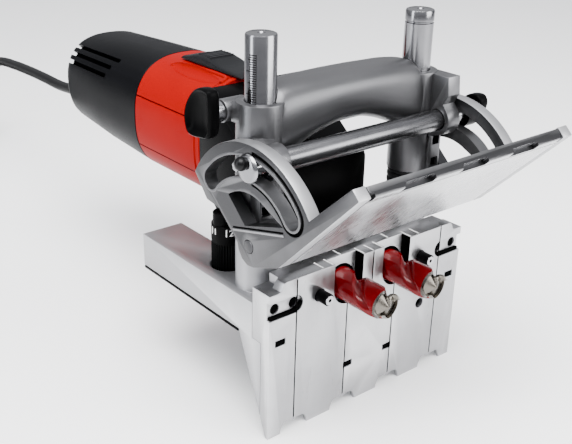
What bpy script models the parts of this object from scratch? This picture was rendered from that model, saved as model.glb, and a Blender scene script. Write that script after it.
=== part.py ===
"""Twin-spindle dowel jointer: two drills at 32 mm centres plunge through a slotted front plate.

World frame, metres: X to the right seen from the work, Y towards the motor, Z up.
The origin is the middle of the narrow foot on which the front plate stands.
"""
from math import atan2, cos, pi, radians, sin, sqrt

import bmesh
import bpy
from mathutils import Matrix, Vector

GAP = 0.0003                 # air between touching pieces
MERGE = 0.00002              # slivers shorter than this are merged after a Boolean

# front plate
PLATE_HALF_W = 0.064
PLATE_FRONT = -0.001
PLATE_BACK = 0.005
PLATE_H = 0.0815
SHOULDER_Z = 0.077
BAND_BACK = 0.0115           # rear face of the plate's thick top band
BAND_LOW = 0.0505
SPINDLE_X = 0.016            # half of the 32 mm spindle spacing
SPINDLE_Z = 0.0676
SLOT_R = 0.0092
PIN_X = 0.034
PIN_Z = 0.0684
PIN_TIP = -0.0078            # the locating pins stand proud of the plate to here
PIN_R = 0.003

# side arms, columns and plunge rods
ARM_REAR = 0.106
ARM_TOP = 0.0685
ARM_IN = 0.040
COLUMN_X = 0.049
COLUMN_Y = 0.0264
COLUMN_R = 0.0071
COLUMN_TOP = 0.187
BOSS_R = 0.011
PEDESTAL_TOP = 0.092
ROD_X = 0.046
ROD_Z = 0.056
ROD_R = 0.004
TURRET_Y = 0.051
PLUNGE = 0.040               # travel of the motor unit on the guide rods
SHOE_FRONT = 0.048
SHOE_REAR = 0.058
REAR_WALL = SHOE_REAR + PLUNGE + 0.0005    # the shoes stop just short of the arms' rear wall

# height carriage and tilting fence
BOSS_LOW = 0.106
BOSS_TOP = 0.1575
PIVOT_Y = 0.0109
PIVOT_Z = 0.098
SLOT_MID = 0.0363            # radius of the quadrant slot's middle line
SLOT_HALF = 0.0047
TILT_BAR_Z = PIVOT_Z + 0.0365
QUAD_IN = 0.0603
QUAD_OUT = 0.0668
QUAD_R = 0.0469
FENCE_N = 0.0162             # contact face's distance from the fence pivot
FENCE_NEAR = 0.0127          # contact face's lower edge, along the face from the pivot
FENCE_FAR = 0.0775
FENCE_THICK = 0.0055
PAD_X = (-0.0500, -0.0162, 0.0162, 0.0500)   # middles of the full-thickness pads on the far edge
PAD_HALF = 0.0080
BIT_R = 0.0076
LEVER_Y = 0.038
LEVER_Z = 0.152
# half of the arch, from the column inwards: x, low z, high z, middle y, half depth
ARCH = [(0.0495, 0.1300, 0.1565, 0.0265, 0.0090), (0.0430, 0.1285, 0.1628, 0.0280, 0.0122),
        (0.0320, 0.1330, 0.1645, 0.0290, 0.0135), (0.0200, 0.1375, 0.1648, 0.0292, 0.0137),
        (0.0070, 0.1405, 0.1650, 0.0292, 0.0137)]

# motor unit
UNIT_HALF_W = 0.0336
COVER_FRONT = 0.042
BODY_Z = 0.112
BODY_A = 0.0337              # half width and half height of the red tube
BODY_B = 0.034
RED_FRONT = 0.0973
SEAM_Y = 0.161
CAP_END = 0.251
WALL = 0.0028
GLAND_Z = 0.097
VENT_Z = 0.113               # the cooling slots point away from this height
MODULE = 0.002
TEETH = {"pinion": 8, "idler": 16, "spindle": 10}
GEAR_FRONT = 0.064
GEAR_REAR = 0.073

# cord
CORD_R = 0.0036
RELIEF_END = (0.0, 0.294, 0.0915)
COIL_CENTRE = (-0.045, 0.540)
COIL_INNER = 0.029
COIL_OUTER = 0.0512
COIL_HEIGHT = 0.036
CORD_ROUTE = [(0, 0.2953, 0.09146), (0, 0.3235, 0.0890), (0, 0.3494, 0.0892), (0, 0.3726, 0.0890),
              (0, 0.4024, 0.0879), (0.0005, 0.4315, 0.0848), (0.0025, 0.4560, 0.0750),
              (0.0050, 0.4780, 0.0590), (0.0078, 0.4970, 0.0400), (0.0096, 0.5140, 0.0230),
              (0.0106, 0.5290, 0.0110), (0.0107, 0.5430, 0.0052), (0.0087, 0.5560, 0.0039),
              (0.0044, 0.5668, 0.0039), (-0.0016, 0.5755, 0.0039), (-0.0092, 0.5832, 0.0039)]


def material(name, rgb, rough, metal=0.0):
    mat = bpy.data.materials.get(name)
    if mat is None:
        mat = bpy.data.materials.new(name)
        mat.use_nodes = True
        shader = mat.node_tree.nodes["Principled BSDF"]
        shader.inputs["Base Color"].default_value = (*rgb, 1.0)
        shader.inputs["Roughness"].default_value = rough
        shader.inputs["Metallic"].default_value = metal
    return mat


PLATE_ALLOY = ("plate_alloy", (0.80, 0.81, 0.83), 0.22, 1.0)
CAST_ALLOY = ("cast_alloy", (0.50, 0.51, 0.53), 0.45, 1.0)
STEEL = ("polished_steel", (0.62, 0.63, 0.65), 0.18, 1.0)
DARK_STEEL = ("dark_steel", (0.10, 0.10, 0.11), 0.35, 1.0)
BLACK = ("black_plastic", (0.02, 0.02, 0.022), 0.42)
GREY = ("grey_plastic", (0.09, 0.09, 0.10), 0.5)
RED = ("red_plastic", (0.72, 0.03, 0.02), 0.35)
CRIMSON = ("crimson_coat", (0.50, 0.01, 0.03), 0.2)
COPPER = ("copper_winding", (0.45, 0.17, 0.07), 0.4, 0.8)
IRON = ("lamination_steel", (0.30, 0.30, 0.32), 0.5, 1.0)
RUBBER = ("rubber", (0.015, 0.015, 0.015), 0.7)
BRASS = ("brass", (0.70, 0.50, 0.22), 0.35, 1.0)


def smooth_round(mesh):
    mesh.shade_smooth()
    mesh.set_sharp_from_angle(angle=radians(32))


def put(name, bm, finish, origin=(0, 0, 0)):
    """Turn a bmesh in world coordinates into a named object whose origin is where it turns."""
    bmesh.ops.recalc_face_normals(bm, faces=bm.faces)
    bm.transform(Matrix.Translation(-Vector(origin)))
    mesh = bpy.data.meshes.new(name)
    bm.to_mesh(mesh)
    bm.free()
    mesh.materials.append(material(*finish))
    smooth_round(mesh)
    piece = bpy.data.objects.new(name, mesh)
    piece.location = origin
    bpy.context.scene.collection.objects.link(piece)
    return piece


def combine(piece, shapes, operation):
    """Boolean a list of world-coordinate shapes into a piece and bake the result."""
    tools = []
    for shape in shapes:
        tool = put("cutter", shape, BLACK)
        tool.hide_render = True
        tool.display_type = "WIRE"
        tools.append(tool)
        mod = piece.modifiers.new("shape", "BOOLEAN")
        mod.operation = operation
        mod.solver = "EXACT"
        mod.object = tool
    graph = bpy.context.evaluated_depsgraph_get()
    mesh = bpy.data.meshes.new_from_object(piece.evaluated_get(graph))
    piece.modifiers.clear()
    tidy = bmesh.new()
    tidy.from_mesh(mesh)
    bmesh.ops.remove_doubles(tidy, verts=tidy.verts, dist=MERGE)
    bmesh.ops.dissolve_degenerate(tidy, edges=tidy.edges, dist=MERGE)
    tidy.to_mesh(mesh)
    tidy.free()
    piece.data = mesh
    smooth_round(mesh)
    for tool in tools:
        bpy.data.objects.remove(tool)
    return piece


def box_bm(low, high, bevel=0.0):
    bm = bmesh.new()
    bmesh.ops.create_cube(bm, size=1.0)
    size = Vector(high) - Vector(low)
    middle = (Vector(high) + Vector(low)) / 2
    bm.transform(Matrix.Translation(middle) @ Matrix.Diagonal((*size, 1.0)))
    if bevel:
        bmesh.ops.bevel(bm, geom=list(bm.edges), offset=bevel, segments=1, affect="EDGES")
    return bm


def plane_point(axis, a, b, depth):
    """Outline coordinates and a depth along the axis, as a point: X takes (y, z), and so on."""
    return {"X": (depth, a, b), "Y": (a, depth, b), "Z": (a, b, depth)}[axis]


def prism_bm(outline, axis, start, end):
    """Extrude a closed outline along an axis."""
    bm = bmesh.new()
    face = bm.faces.new([bm.verts.new(plane_point(axis, a, b, start)) for a, b in outline])
    grown = bmesh.ops.extrude_face_region(bm, geom=[face])
    moved = [item for item in grown["geom"] if isinstance(item, bmesh.types.BMVert)]
    bmesh.ops.translate(bm, verts=moved, vec=Vector(plane_point(axis, 0, 0, end - start)))
    return bm


def lathe_bm(profile, axis, centre, steps=24):
    """Turn a closed profile of (distance along the axis, radius) about an axis through centre."""
    bm = bmesh.new()
    solid = profile[0][1] == 0
    rings = []
    for along, radius in profile:
        if radius == 0:
            rings.append([bm.verts.new((0, 0, along))])
            continue
        turn = [2 * pi * k / steps for k in range(steps)]
        rings.append([bm.verts.new((radius * cos(t), radius * sin(t), along)) for t in turn])
    pairs = list(zip(rings, rings[1:]))
    if not solid:
        pairs.append((rings[-1], rings[0]))
    for one, two in pairs:
        for k in range(steps):
            n = (k + 1) % steps
            if len(one) == 1:
                bm.faces.new((one[0], two[k], two[n]))
            elif len(two) == 1:
                bm.faces.new((one[k], two[0], one[n]))
            else:
                bm.faces.new((one[k], two[k], two[n], one[n]))
    turn = {"Z": Matrix(), "Y": Matrix.Rotation(-pi / 2, 4, "X"), "X": Matrix.Rotation(pi / 2, 4, "Y")}
    bm.transform(Matrix.Translation(Vector(centre)) @ turn[axis])
    return bm


def rod_bm(axis, centre, radius, start, end, steps=24, chamfer=0.0):
    """A round bar; start and end are distances from centre along the axis."""
    c = chamfer
    if not c:
        return lathe_bm([(start, 0), (start, radius), (end, radius), (end, 0)], axis, centre, steps)
    profile = [(start, 0), (start, radius - c), (start + c, radius), (end - c, radius),
               (end, radius - c), (end, 0)]
    return lathe_bm(profile, axis, centre, steps)


def ring_bm(axis, centre, inner, outer, start, end, steps=24):
    return lathe_bm([(start, inner), (start, outer), (end, outer), (end, inner)], axis, centre, steps)


def arc(ca, cb, radius, first, last, count):
    """Points on a circular arc between two angles in degrees."""
    turns = [radians(first + (last - first) * i / (count - 1)) for i in range(count)]
    return [(ca + radius * cos(t), cb + radius * sin(t)) for t in turns]


def superellipse(centre_z, a, b, power, y, count=28):
    """A ring of points across the Y axis."""
    points = []
    for i in range(count):
        c, s = cos(2 * pi * i / count), sin(2 * pi * i / count)
        x = a * abs(c) ** (2 / power) * (1 if c >= 0 else -1)
        z = b * abs(s) ** (2 / power) * (1 if s >= 0 else -1)
        points.append((x, y, centre_z + z))
    return points


def loft_bm(rings, loop=False):
    """Join rings of points; a loop of rings makes a tube wall, otherwise both ends are closed."""
    bm = bmesh.new()
    loops = [[bm.verts.new(point) for point in ring] for ring in rings]
    pairs = list(zip(loops, loops[1:]))
    if loop:
        pairs.append((loops[-1], loops[0]))
    count = len(loops[0])
    for one, two in pairs:
        for k in range(count):
            n = (k + 1) % count
            bm.faces.new((one[k], one[n], two[n], two[k]))
    if not loop:
        bm.faces.new(loops[0])
        bm.faces.new(loops[-1])
    return bm


def span(side, a, b):
    """The X range from a to b on one side of the tool."""
    return sorted((side * a, side * b))


def sided(outline, side):
    """An outline drawn for the right side, mirrored for the left."""
    return outline if side > 0 else [(-a, b) for a, b in reversed(outline)]


SIDES = ((-1, "left"), (1, "right"))


# ---------------------------------------------------------------- base
def plate_outline():
    """Front view: shoulders above, tabbed notches along the foot."""
    right = []
    for middle in (SPINDLE_X, 3 * SPINDLE_X):
        near, far = middle - 0.0085, middle + 0.0085
        right += [(near, 0), (near + 0.0010, 0.0038), (near + 0.0030, 0.0055), (middle - 0.0014, 0.0055),
                  (middle, 0.0040), (middle + 0.0014, 0.0055), (far - 0.0030, 0.0055),
                  (far - 0.0010, 0.0038), (far, 0)]
    right += [(PLATE_HALF_W, 0), (PLATE_HALF_W, SHOULDER_Z), (0.0595, SHOULDER_Z),
              (0.0572, SHOULDER_Z + 0.0009), (0.0562, PLATE_H - 0.0012), (0.0545, PLATE_H)]
    return right + sided(right, -1)


def make_front_plate():
    plate = put("front_plate", prism_bm(plate_outline(), "Y", PLATE_FRONT, PLATE_BACK), PLATE_ALLOY)
    inside = PLATE_FRONT + 0.001
    band = box_bm((-PLATE_HALF_W, inside, BAND_LOW), (PLATE_HALF_W, BAND_BACK, SHOULDER_Z))
    rail = box_bm((-0.0545, inside, BAND_LOW + 0.001), (0.0545, BAND_BACK, PLATE_H))
    combine(plate, [band, rail], "UNION")
    cuts = [prism_bm([(0.0010, -0.001), (0.0010, 0), (0.0050, 0.0096), (0.008, 0.0096), (0.008, -0.001)],
                     "X", -0.07, 0.07)]
    recess = arc(0.049, SPINDLE_Z + 0.001, 0.0045, 270, 90, 9)
    recess += [(0.070, SPINDLE_Z + 0.0055), (0.070, SPINDLE_Z - 0.0035)]
    for side, _ in SIDES:
        x = side * SPINDLE_X
        cradle = arc(x, SPINDLE_Z, SLOT_R, 180, 360, 13)
        cuts.append(prism_bm(cradle + [(x + SLOT_R, 0.09), (x - SLOT_R, 0.09)], "Y", -0.01, PLATE_BACK))
        cuts.append(rod_bm("Y", (x, 0, SPINDLE_Z), SLOT_R - 0.0001, PLATE_BACK - 0.001, 0.02, 24))
        cuts.append(rod_bm("Y", (side * PIN_X, 0, PIN_Z), PIN_R + GAP, -0.01, 0.02, 16))
        cuts.append(prism_bm(sided(recess, side), "Y", -0.01, PLATE_FRONT + 0.005))
        for hole in (0.0595, 0.0485):
            cuts.append(rod_bm("Y", (side * hole, 0, SPINDLE_Z + 0.001), 0.0026, 0, 0.009, 12))
        for dash_x, dash_z in ((0.0574, 0.0512), (0.0137, 0.0231)):
            low = (side * dash_x - 0.003, -0.01, dash_z - 0.0017)
            high = (side * dash_x + 0.003, 0.001, dash_z + 0.0017)
            cuts.append(box_bm(low, high))
    cuts.append(rod_bm("Y", (0.0362, 0, 0.0408), 0.0028, -0.01, 0.02, 14))
    combine(plate, cuts, "DIFFERENCE")


def make_arm(side, word):
    """A channel-section side arm with its gusset, column pedestal and rear wall."""
    front = BAND_BACK + GAP
    behind_plate = PLATE_BACK + GAP
    wall = [(front, ARM_TOP), (ARM_REAR, ARM_TOP), (ARM_REAR, BAND_LOW), (0.022, BAND_LOW),
            (behind_plate, 0.0104), (behind_plate, BAND_LOW - GAP), (front, BAND_LOW - GAP)]
    arm = put("arm_" + word, prism_bm(wall, "X", *span(side, 0.060, PLATE_HALF_W)), CAST_ALLOY)
    x0, x1 = span(side, ARM_IN, 0.0602)
    column = (side * COLUMN_X, COLUMN_Y, 0)
    combine(arm, [box_bm((x0, front, 0.0625), (x1, ARM_REAR, ARM_TOP)),
                  box_bm((x0, REAR_WALL, BAND_LOW), (x1, ARM_REAR, 0.064)),
                  box_bm((x0, front, BAND_LOW), (x1, front + 0.0035, 0.064)),
                  rod_bm("Z", column, BOSS_R, 0.0635, PEDESTAL_TOP, 24)], "UNION")
    cuts = [rod_bm("Z", column, COLUMN_R + GAP, 0.064, 0.12, 20),
            rod_bm("Y", (side * ROD_X, 0, ROD_Z), ROD_R + GAP, 0.005, 0.1045, 16)]
    if side < 0:
        turret = (-COLUMN_X, TURRET_Y, 0)
        cuts.append(rod_bm("Z", turret, 0.0088, 0.0648, 0.08, 24))
        cuts.append(rod_bm("Z", turret, 0.0033, 0.05, 0.08, 12))
    combine(arm, cuts, "DIFFERENCE")


def make_spring(side, word):
    """Plunge return spring on the guide rod, between the plate and the slide shoe."""
    turns, sides, rings = 5, 4, 40
    mean, wire, start, end = 0.0050, 0.0006, 0.0165, 0.0470
    loops = []
    for i in range(rings + 1):
        angle = 2 * pi * turns * i / rings
        y = start + (end - start) * i / rings
        loop = []
        for k in range(sides):
            a = 2 * pi * k / sides
            reach = mean + wire * cos(a)
            loop.append((side * ROD_X + reach * cos(angle), y + wire * sin(a), ROD_Z + reach * sin(angle)))
        loops.append(loop)
    put("return_spring_" + word, loft_bm(loops), DARK_STEEL)


def make_base():
    make_front_plate()
    for side, word in SIDES:
        make_arm(side, word)
        column = (side * COLUMN_X, COLUMN_Y, 0)
        put("column_" + word, rod_bm("Z", column, COLUMN_R, 0.0643, COLUMN_TOP, 20, 0.0008), STEEL)
        put("wiper_ring_" + word, ring_bm("Z", column, COLUMN_R + GAP, BOSS_R - 0.0005,
                                          PEDESTAL_TOP + GAP, BOSS_LOW - GAP, 20), RUBBER)
        rod = (side * ROD_X, 0, ROD_Z)
        put("guide_rod_" + word, rod_bm("Y", rod, ROD_R, BAND_BACK + 0.0006, 0.1042, 16), STEEL)
        make_spring(side, word)
    put("base_cover", box_bm((-PLATE_HALF_W, 0.0225, 0.0486), (PLATE_HALF_W, ARM_REAR, 0.0502)), BLACK)


def make_locating_pins():
    for side, word in SIDES:
        centre = (side * PIN_X, 0, PIN_Z)
        profile = [(PIN_TIP, 0), (PIN_TIP, PIN_R - 0.0006), (PIN_TIP + 0.0006, PIN_R), (0.0150, PIN_R),
                   (0.0150, 0)]
        put("locating_pin_" + word, lathe_bm(profile, "Y", centre, 16), DARK_STEEL, centre)


def make_turret():
    """Depth turret: a ribbed drum whose stepped top carries one raised stop."""
    centre = (-COLUMN_X, TURRET_Y, 0)
    drum = [(0.0620, 0), (0.0620, 0.0030), (0.0652, 0.0030), (0.0652, 0.0080)]
    for low in (0.0700, 0.0735, 0.0770):
        drum += [(low, 0.0080), (low, 0.0073), (low + 0.0018, 0.0073), (low + 0.0018, 0.0080)]
    drum += [(0.0912, 0.0080), (0.0912, 0)]
    turret = put("turret_stop", lathe_bm(drum, "Z", centre, 20), BLACK, centre)
    stop = (centre[0] - 0.0034, centre[1], 0)
    combine(turret, [rod_bm("Z", stop, 0.0044, 0.0890, 0.0976, 14)], "UNION")


# ---------------------------------------------------------------- height carriage
def flange_outline():
    """Side view of the cheek that carries the tilt bar and the fence pivot."""
    lug = arc(PIVOT_Y, TILT_BAR_Z, 0.0080, 140, 235, 7)
    hub = arc(PIVOT_Y, PIVOT_Z, 0.0075, 120, 320, 9)
    return ([(0.030, BOSS_TOP - 0.0005), (0.0055, BOSS_TOP - 0.0005), (0.0045, 0.1480), (0.0075, 0.1430)]
            + lug + [(0.0140, 0.1250), (0.0140, 0.1060)] + hub + [(0.0190, 0.1055), (0.030, 0.1065)])


def arch_ring(x, low, high, middle, depth):
    ring = superellipse((low + high) / 2, depth, (high - low) / 2, 2.6, x, 16)
    return [(x, middle + across, z) for across, _, z in ring]


def make_bridge():
    rings = [arch_ring(-x, *rest) for x, *rest in ARCH] + [arch_ring(x, *rest) for x, *rest in reversed(ARCH)]
    bridge = put("bridge", loft_bm(rings), CAST_ALLOY)
    adds = [box_bm((-0.0620, 0.0230, 0.1465), (-0.0450, 0.0470, BOSS_TOP - 0.0008), 0.0025)]
    cuts = [rod_bm("X", (0, LEVER_Y, LEVER_Z), 0.0033, -0.070, -0.052, 12)]
    for side, _ in SIDES:
        column = (side * COLUMN_X, COLUMN_Y, 0)
        adds.append(rod_bm("Z", column, BOSS_R, BOSS_LOW, BOSS_TOP, 24))
        adds.append(prism_bm(flange_outline(), "X", *span(side, 0.0500, 0.0585)))
        cuts.append(rod_bm("Z", column, COLUMN_R + GAP, 0.09, 0.18, 20))
        cuts.append(rod_bm("Z", column, BOSS_R, 0.085, BOSS_LOW - 0.0001, 20))
        for z in (0.1225, 0.1106):
            middle = side * 0.0548
            cuts.append(box_bm((middle - 0.0025, 0.010, z - 0.0025), (middle + 0.0025, 0.0180, z + 0.0025)))
        cuts.append(rod_bm("X", (0, PIVOT_Y, PIVOT_Z), 0.0033, *span(side, 0.0492, 0.070), 12))
        cuts.append(rod_bm("X", (0, PIVOT_Y, TILT_BAR_Z), 0.0056, *span(side, 0.034, 0.070), 18))
    combine(bridge, adds, "UNION")
    combine(bridge, cuts, "DIFFERENCE")


def make_carriage():
    make_bridge()
    bar = (0, PIVOT_Y, TILT_BAR_Z)
    put("tilt_bar", rod_bm("X", bar, 0.0053, -0.0597, 0.0597, 20, 0.0004), STEEL)
    for side, word in SIDES:
        x0, x1 = span(side, 0.0505, 0.0671)
        put("pivot_pin_" + word, rod_bm("X", (0, PIVOT_Y, PIVOT_Z), 0.0030, x0, x1, 14, 0.0003), STEEL)
    dome = [(-0.0714 - 0.0038 * sin(radians(a)), 0.0046 * cos(radians(a))) for a in (0, 30, 60, 90)]
    left = [(-0.0600, 0), (-0.0600, 0.0042), (-0.0671, 0.0042), (-0.0671, 0.0072), (-0.0688, 0.0072),
            (-0.0688, 0.0046)]
    put("tilt_bolt_left", lathe_bm(left + dome[:-1] + [(dome[-1][0], 0)], "X", bar, 20), STEEL)
    put("tilt_bolt_right", rod_bm("X", bar, 0.0042, 0.0600, 0.0700, 16), STEEL)


def make_levers():
    height_axis = (0, LEVER_Y, LEVER_Z)
    stud = [(-0.0668, 0), (-0.0668, 0.0047), (-0.0624, 0.0047), (-0.0624, 0.0030), (-0.0525, 0.0030),
            (-0.0525, 0)]
    put("height_clamp_stud", lathe_bm(stud, "X", height_axis, 16), STEEL, height_axis)
    blade = [(0.0290, 0.1455), (0.0360, 0.1425), (0.0440, 0.1420), (0.0470, 0.1450), (0.0475, 0.1520),
             (0.0440, 0.1590), (0.0385, 0.1640), (0.0315, 0.1650), (0.0285, 0.1620)]
    lever = put("height_lever", prism_bm(blade, "X", -0.0750, -0.0690), BLACK, height_axis)
    combine(lever, [rod_bm("X", height_axis, 0.0062, -0.0720, -0.0671, 20)], "UNION")

    tilt_axis = (0, PIVOT_Y, TILT_BAR_Z)
    grip = [(0.0155, 0.1390), (0.0120, 0.1425), (0.0085, 0.1450), (0.0030, 0.1455), (0.0005, 0.1425),
            (0.0010, 0.1385), (0.0040, 0.1340), (0.0090, 0.1300)]
    lever = put("tilt_lever", prism_bm(grip, "X", 0.0700, 0.0765), BLACK, tilt_axis)
    combine(lever, [rod_bm("X", tilt_axis, 0.0068, 0.0673, 0.0752, 20)], "UNION")
    combine(lever, [rod_bm("X", tilt_axis, 0.0045, 0.0660, 0.0705, 16)], "DIFFERENCE")


# ---------------------------------------------------------------- fence
def fence_point(along, depth):
    """Side-view point from distances along the contact face and in front of the pivot."""
    d = sqrt(0.5)
    return (PIVOT_Y - d * along - d * depth, PIVOT_Z + d * along - d * depth)


def make_fence():
    pivot = (0, PIVOT_Y, PIVOT_Z)
    back = FENCE_N - FENCE_THICK
    section = [fence_point(s, n) for s, n in (
        (FENCE_NEAR, FENCE_N), (FENCE_FAR, FENCE_N), (FENCE_FAR, back + 0.0005), (FENCE_FAR - 0.004, back),
        (FENCE_NEAR, back))]
    fence = put("fence_plate", prism_bm(section, "X", -0.0600, 0.0600), PLATE_ALLOY, pivot)
    pocket = [fence_point(s, n) for s, n in (
        (FENCE_FAR + 0.002, FENCE_N + 0.002), (FENCE_FAR + 0.002, FENCE_N - 0.0022),
        (FENCE_FAR - 0.0030, FENCE_N - 0.0022), (FENCE_FAR - 0.0034, FENCE_N + 0.002))]
    starts = [-0.061] + [x + PAD_HALF for x in PAD_X]
    ends = [x - PAD_HALF for x in PAD_X] + [0.061]
    combine(fence, [prism_bm(pocket, "X", x0, x1) for x0, x1 in zip(starts, ends)], "DIFFERENCE")
    rib = [fence_point(s, n) for s, n in (
        (0.018, back + 0.001), (0.060, back + 0.001), (0.060, back - 0.0025), (0.018, back - 0.0025))]
    ribs = [prism_bm(rib, "X", x - 0.0015, x + 0.0015) for x in (-0.040, -0.020, 0, 0.020, 0.040)]
    combine(fence, ribs, "UNION")

    outline = arc(PIVOT_Y, PIVOT_Z, QUAD_R, 29, 146.3, 22)
    outline += [fence_point(FENCE_FAR, back), fence_point(FENCE_FAR, FENCE_N)]
    outline.append(fence_point(FENCE_NEAR, FENCE_N))
    outline += [(0.0076, 0.0889), (0.0120, 0.0884), (0.0160, 0.0902), (0.0186, 0.0938), (0.0195, 0.0972),
                (0.0331, 0.1087), (0.0427, 0.1100)]
    slot = arc(PIVOT_Y, PIVOT_Z, SLOT_MID + SLOT_HALF, 39, 141, 20)
    for angle, start in ((141, 141), (39, 219)):
        end = (PIVOT_Y + SLOT_MID * cos(radians(angle)), PIVOT_Z + SLOT_MID * sin(radians(angle)))
        slot += arc(*end, SLOT_HALF, start, start + 180, 9)[1:-1]
        if angle == 141:
            slot += arc(PIVOT_Y, PIVOT_Z, SLOT_MID - SLOT_HALF, 141, 39, 16)
    window = arc(PIVOT_Y, PIVOT_Z, 0.0250, 53, 118, 10)
    window += [(-0.0104, 0.1161), (-0.0122, 0.1154), (0.0137, 0.1070)]
    for side, word in SIDES:
        x0, x1 = span(side, QUAD_IN, QUAD_OUT)
        quadrant = put("fence_quadrant_" + word, prism_bm(outline, "X", x0, x1), CAST_ALLOY, pivot)
        through = (x0 - 0.01, x1 + 0.01)
        combine(quadrant, [prism_bm(slot, "X", *through), prism_bm(window, "X", *through),
                           rod_bm("X", pivot, 0.0033, *through, 14)], "DIFFERENCE")


# ---------------------------------------------------------------- motor unit
SPIN_AXIS = (0, 0, BODY_Z)
IDLER_Z = BODY_Z - MODULE * (TEETH["pinion"] + TEETH["idler"]) / 2


def make_gear_case():
    """Front cover and gear housing: two spindle bores, gear chamber, bearing wall and fan duct."""
    w = UNIT_HALF_W
    shape = [(-w, 0.0520), (w, 0.0520)] + arc(w - 0.008, 0.1090, 0.008, 0, 90, 7)
    shape += arc(-w + 0.008, 0.1090, 0.008, 90, 180, 7)
    cover = put("gear_cover", prism_bm(shape, "Y", COVER_FRONT, 0.0477), BLACK)
    cuts = [rod_bm("Y", (side * SPINDLE_X, 0, SPINDLE_Z), 0.0093, 0.03, 0.06, 24) for side, _ in SIDES]
    cuts.append(rod_bm("Y", (0, 0, IDLER_Z), 0.0033, 0.0440, 0.06, 12))
    combine(cover, cuts, "DIFFERENCE")

    side_view = [(0.0480, 0.0520), (0.0480, 0.1165), (0.0560, 0.1190), (0.0840, 0.1410), (0.0970, 0.1435),
                 (0.0970, 0.0975), (0.0880, 0.0880), (0.0790, 0.0800), (0.0790, 0.0520)]
    housing = put("gear_housing", prism_bm(side_view, "X", -w, w), BLACK)
    combine(housing, [box_bm((-0.025, 0.070, 0.0545), (0.025, 0.0870, 0.0850))], "UNION")
    inner = w - 0.003
    chamber = [(0.0400, 0.0545), (0.0740, 0.0545), (0.0740, 0.1060), (0.0400, 0.1060)]
    cuts = [prism_bm(chamber, "X", -inner, inner),
            rod_bm("Y", SPIN_AXIS, 0.0105, 0.0560, 0.0740, 24),
            rod_bm("Y", SPIN_AXIS, 0.0113, 0.0735, 0.0800, 24),
            rod_bm("Y", SPIN_AXIS, 0.0130, 0.0795, 0.0850, 24),
            rod_bm("Y", SPIN_AXIS, 0.0228, 0.0840, 0.1000, 24),
            rod_bm("Y", (0, 0, IDLER_Z), 0.0033, 0.0700, 0.0790, 12)]
    cuts += [rod_bm("Y", (side * SPINDLE_X, 0, SPINDLE_Z), 0.0053, 0.0700, 0.0845, 16) for side, _ in SIDES]
    combine(housing, cuts, "DIFFERENCE")


def make_housings():
    """Red motor tube and black rear cap, both thin shells."""
    outside, inside = (BODY_A, BODY_B, 2.5), (BODY_A - WALL, BODY_B - WALL, 2.5)
    rings = [superellipse(BODY_Z, *outside, RED_FRONT), superellipse(BODY_Z, *outside, SEAM_Y),
             superellipse(BODY_Z, *inside, SEAM_Y), superellipse(BODY_Z, *inside, RED_FRONT)]
    tube = put("motor_housing", loft_bm(rings, loop=True), RED)
    combine(tube, [box_bm((-0.0039, 0.108, 0.135), (0.0039, 0.150, 0.150))], "DIFFERENCE")

    outer = [(SEAM_Y + GAP, BODY_A, BODY_B, BODY_Z), (0.205, 0.0330, 0.0318, 0.1125),
             (0.244, 0.0316, 0.0290, 0.1136), (0.249, 0.0306, 0.0280, 0.1136),
             (CAP_END, 0.0280, 0.0254, 0.1136)]
    shell = [superellipse(z, a, b, 2.5, y) for y, a, b, z in outer]
    hollow = [superellipse(z, a - WALL, b - WALL, 2.5, min(y, CAP_END - WALL)) for y, a, b, z in outer[:-1]]
    cap = put("rear_cap", loft_bm(hollow[::-1] + shell), BLACK)
    vents = [rod_bm("Y", (0, 0, GLAND_Z), 0.0055, 0.22, 0.26, 16)]
    for side, _ in SIDES:
        for lift, start in ((26, 0.199), (35.5, 0.196), (45, 0.191)):
            vent = box_bm((0.0235, start, -0.0013), (0.045, CAP_END + 0.003, 0.0013))
            turn = Matrix.Rotation(radians(-lift if side > 0 else lift - 180), 4, "Y")
            vent.transform(Matrix.Translation((0, 0, VENT_Z)) @ turn)
            vents.append(vent)
    combine(cap, vents, "DIFFERENCE")


def make_switch():
    """Sliding thumb switch on the housing's crown, with its stem through the slot."""
    top = [(0.0920, 0.1464), (0.1480, 0.1464), (0.1480, 0.1480), (0.1420, 0.1487), (0.1370, 0.1506),
           (0.1290, 0.1514), (0.1210, 0.1507), (0.1150, 0.1488), (0.0950, 0.1480), (0.0920, 0.1475)]
    switch = put("slide_switch", prism_bm(top, "X", -0.0100, 0.0100), GREY, (0, 0.119, 0.1464))
    combine(switch, [box_bm((-0.0034, 0.116, 0.1427), (0.0034, 0.141, 0.1480))], "UNION")
    put("switch_module", box_bm((-0.009, 0.176, 0.1275), (0.009, 0.204, 0.1385), 0.001), GREY)


def gear_bm(teeth, centre_z, centre_x, tooth_angle):
    """A spur gear; one tooth points along tooth_angle, measured from +X towards +Z."""
    pitch = 2 * pi / teeth
    radius = MODULE * teeth / 2
    points = []
    for k in range(teeth):
        middle = tooth_angle + k * pitch
        for reach, share in ((-0.0016, -0.28), (0.0010, -0.10), (0.0010, 0.10), (-0.0016, 0.28)):
            t = middle + share * pitch
            points.append((centre_x + (radius + reach) * cos(t), centre_z + (radius + reach) * sin(t)))
    return prism_bm(points, "Y", GEAR_FRONT, GEAR_REAR)


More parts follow.
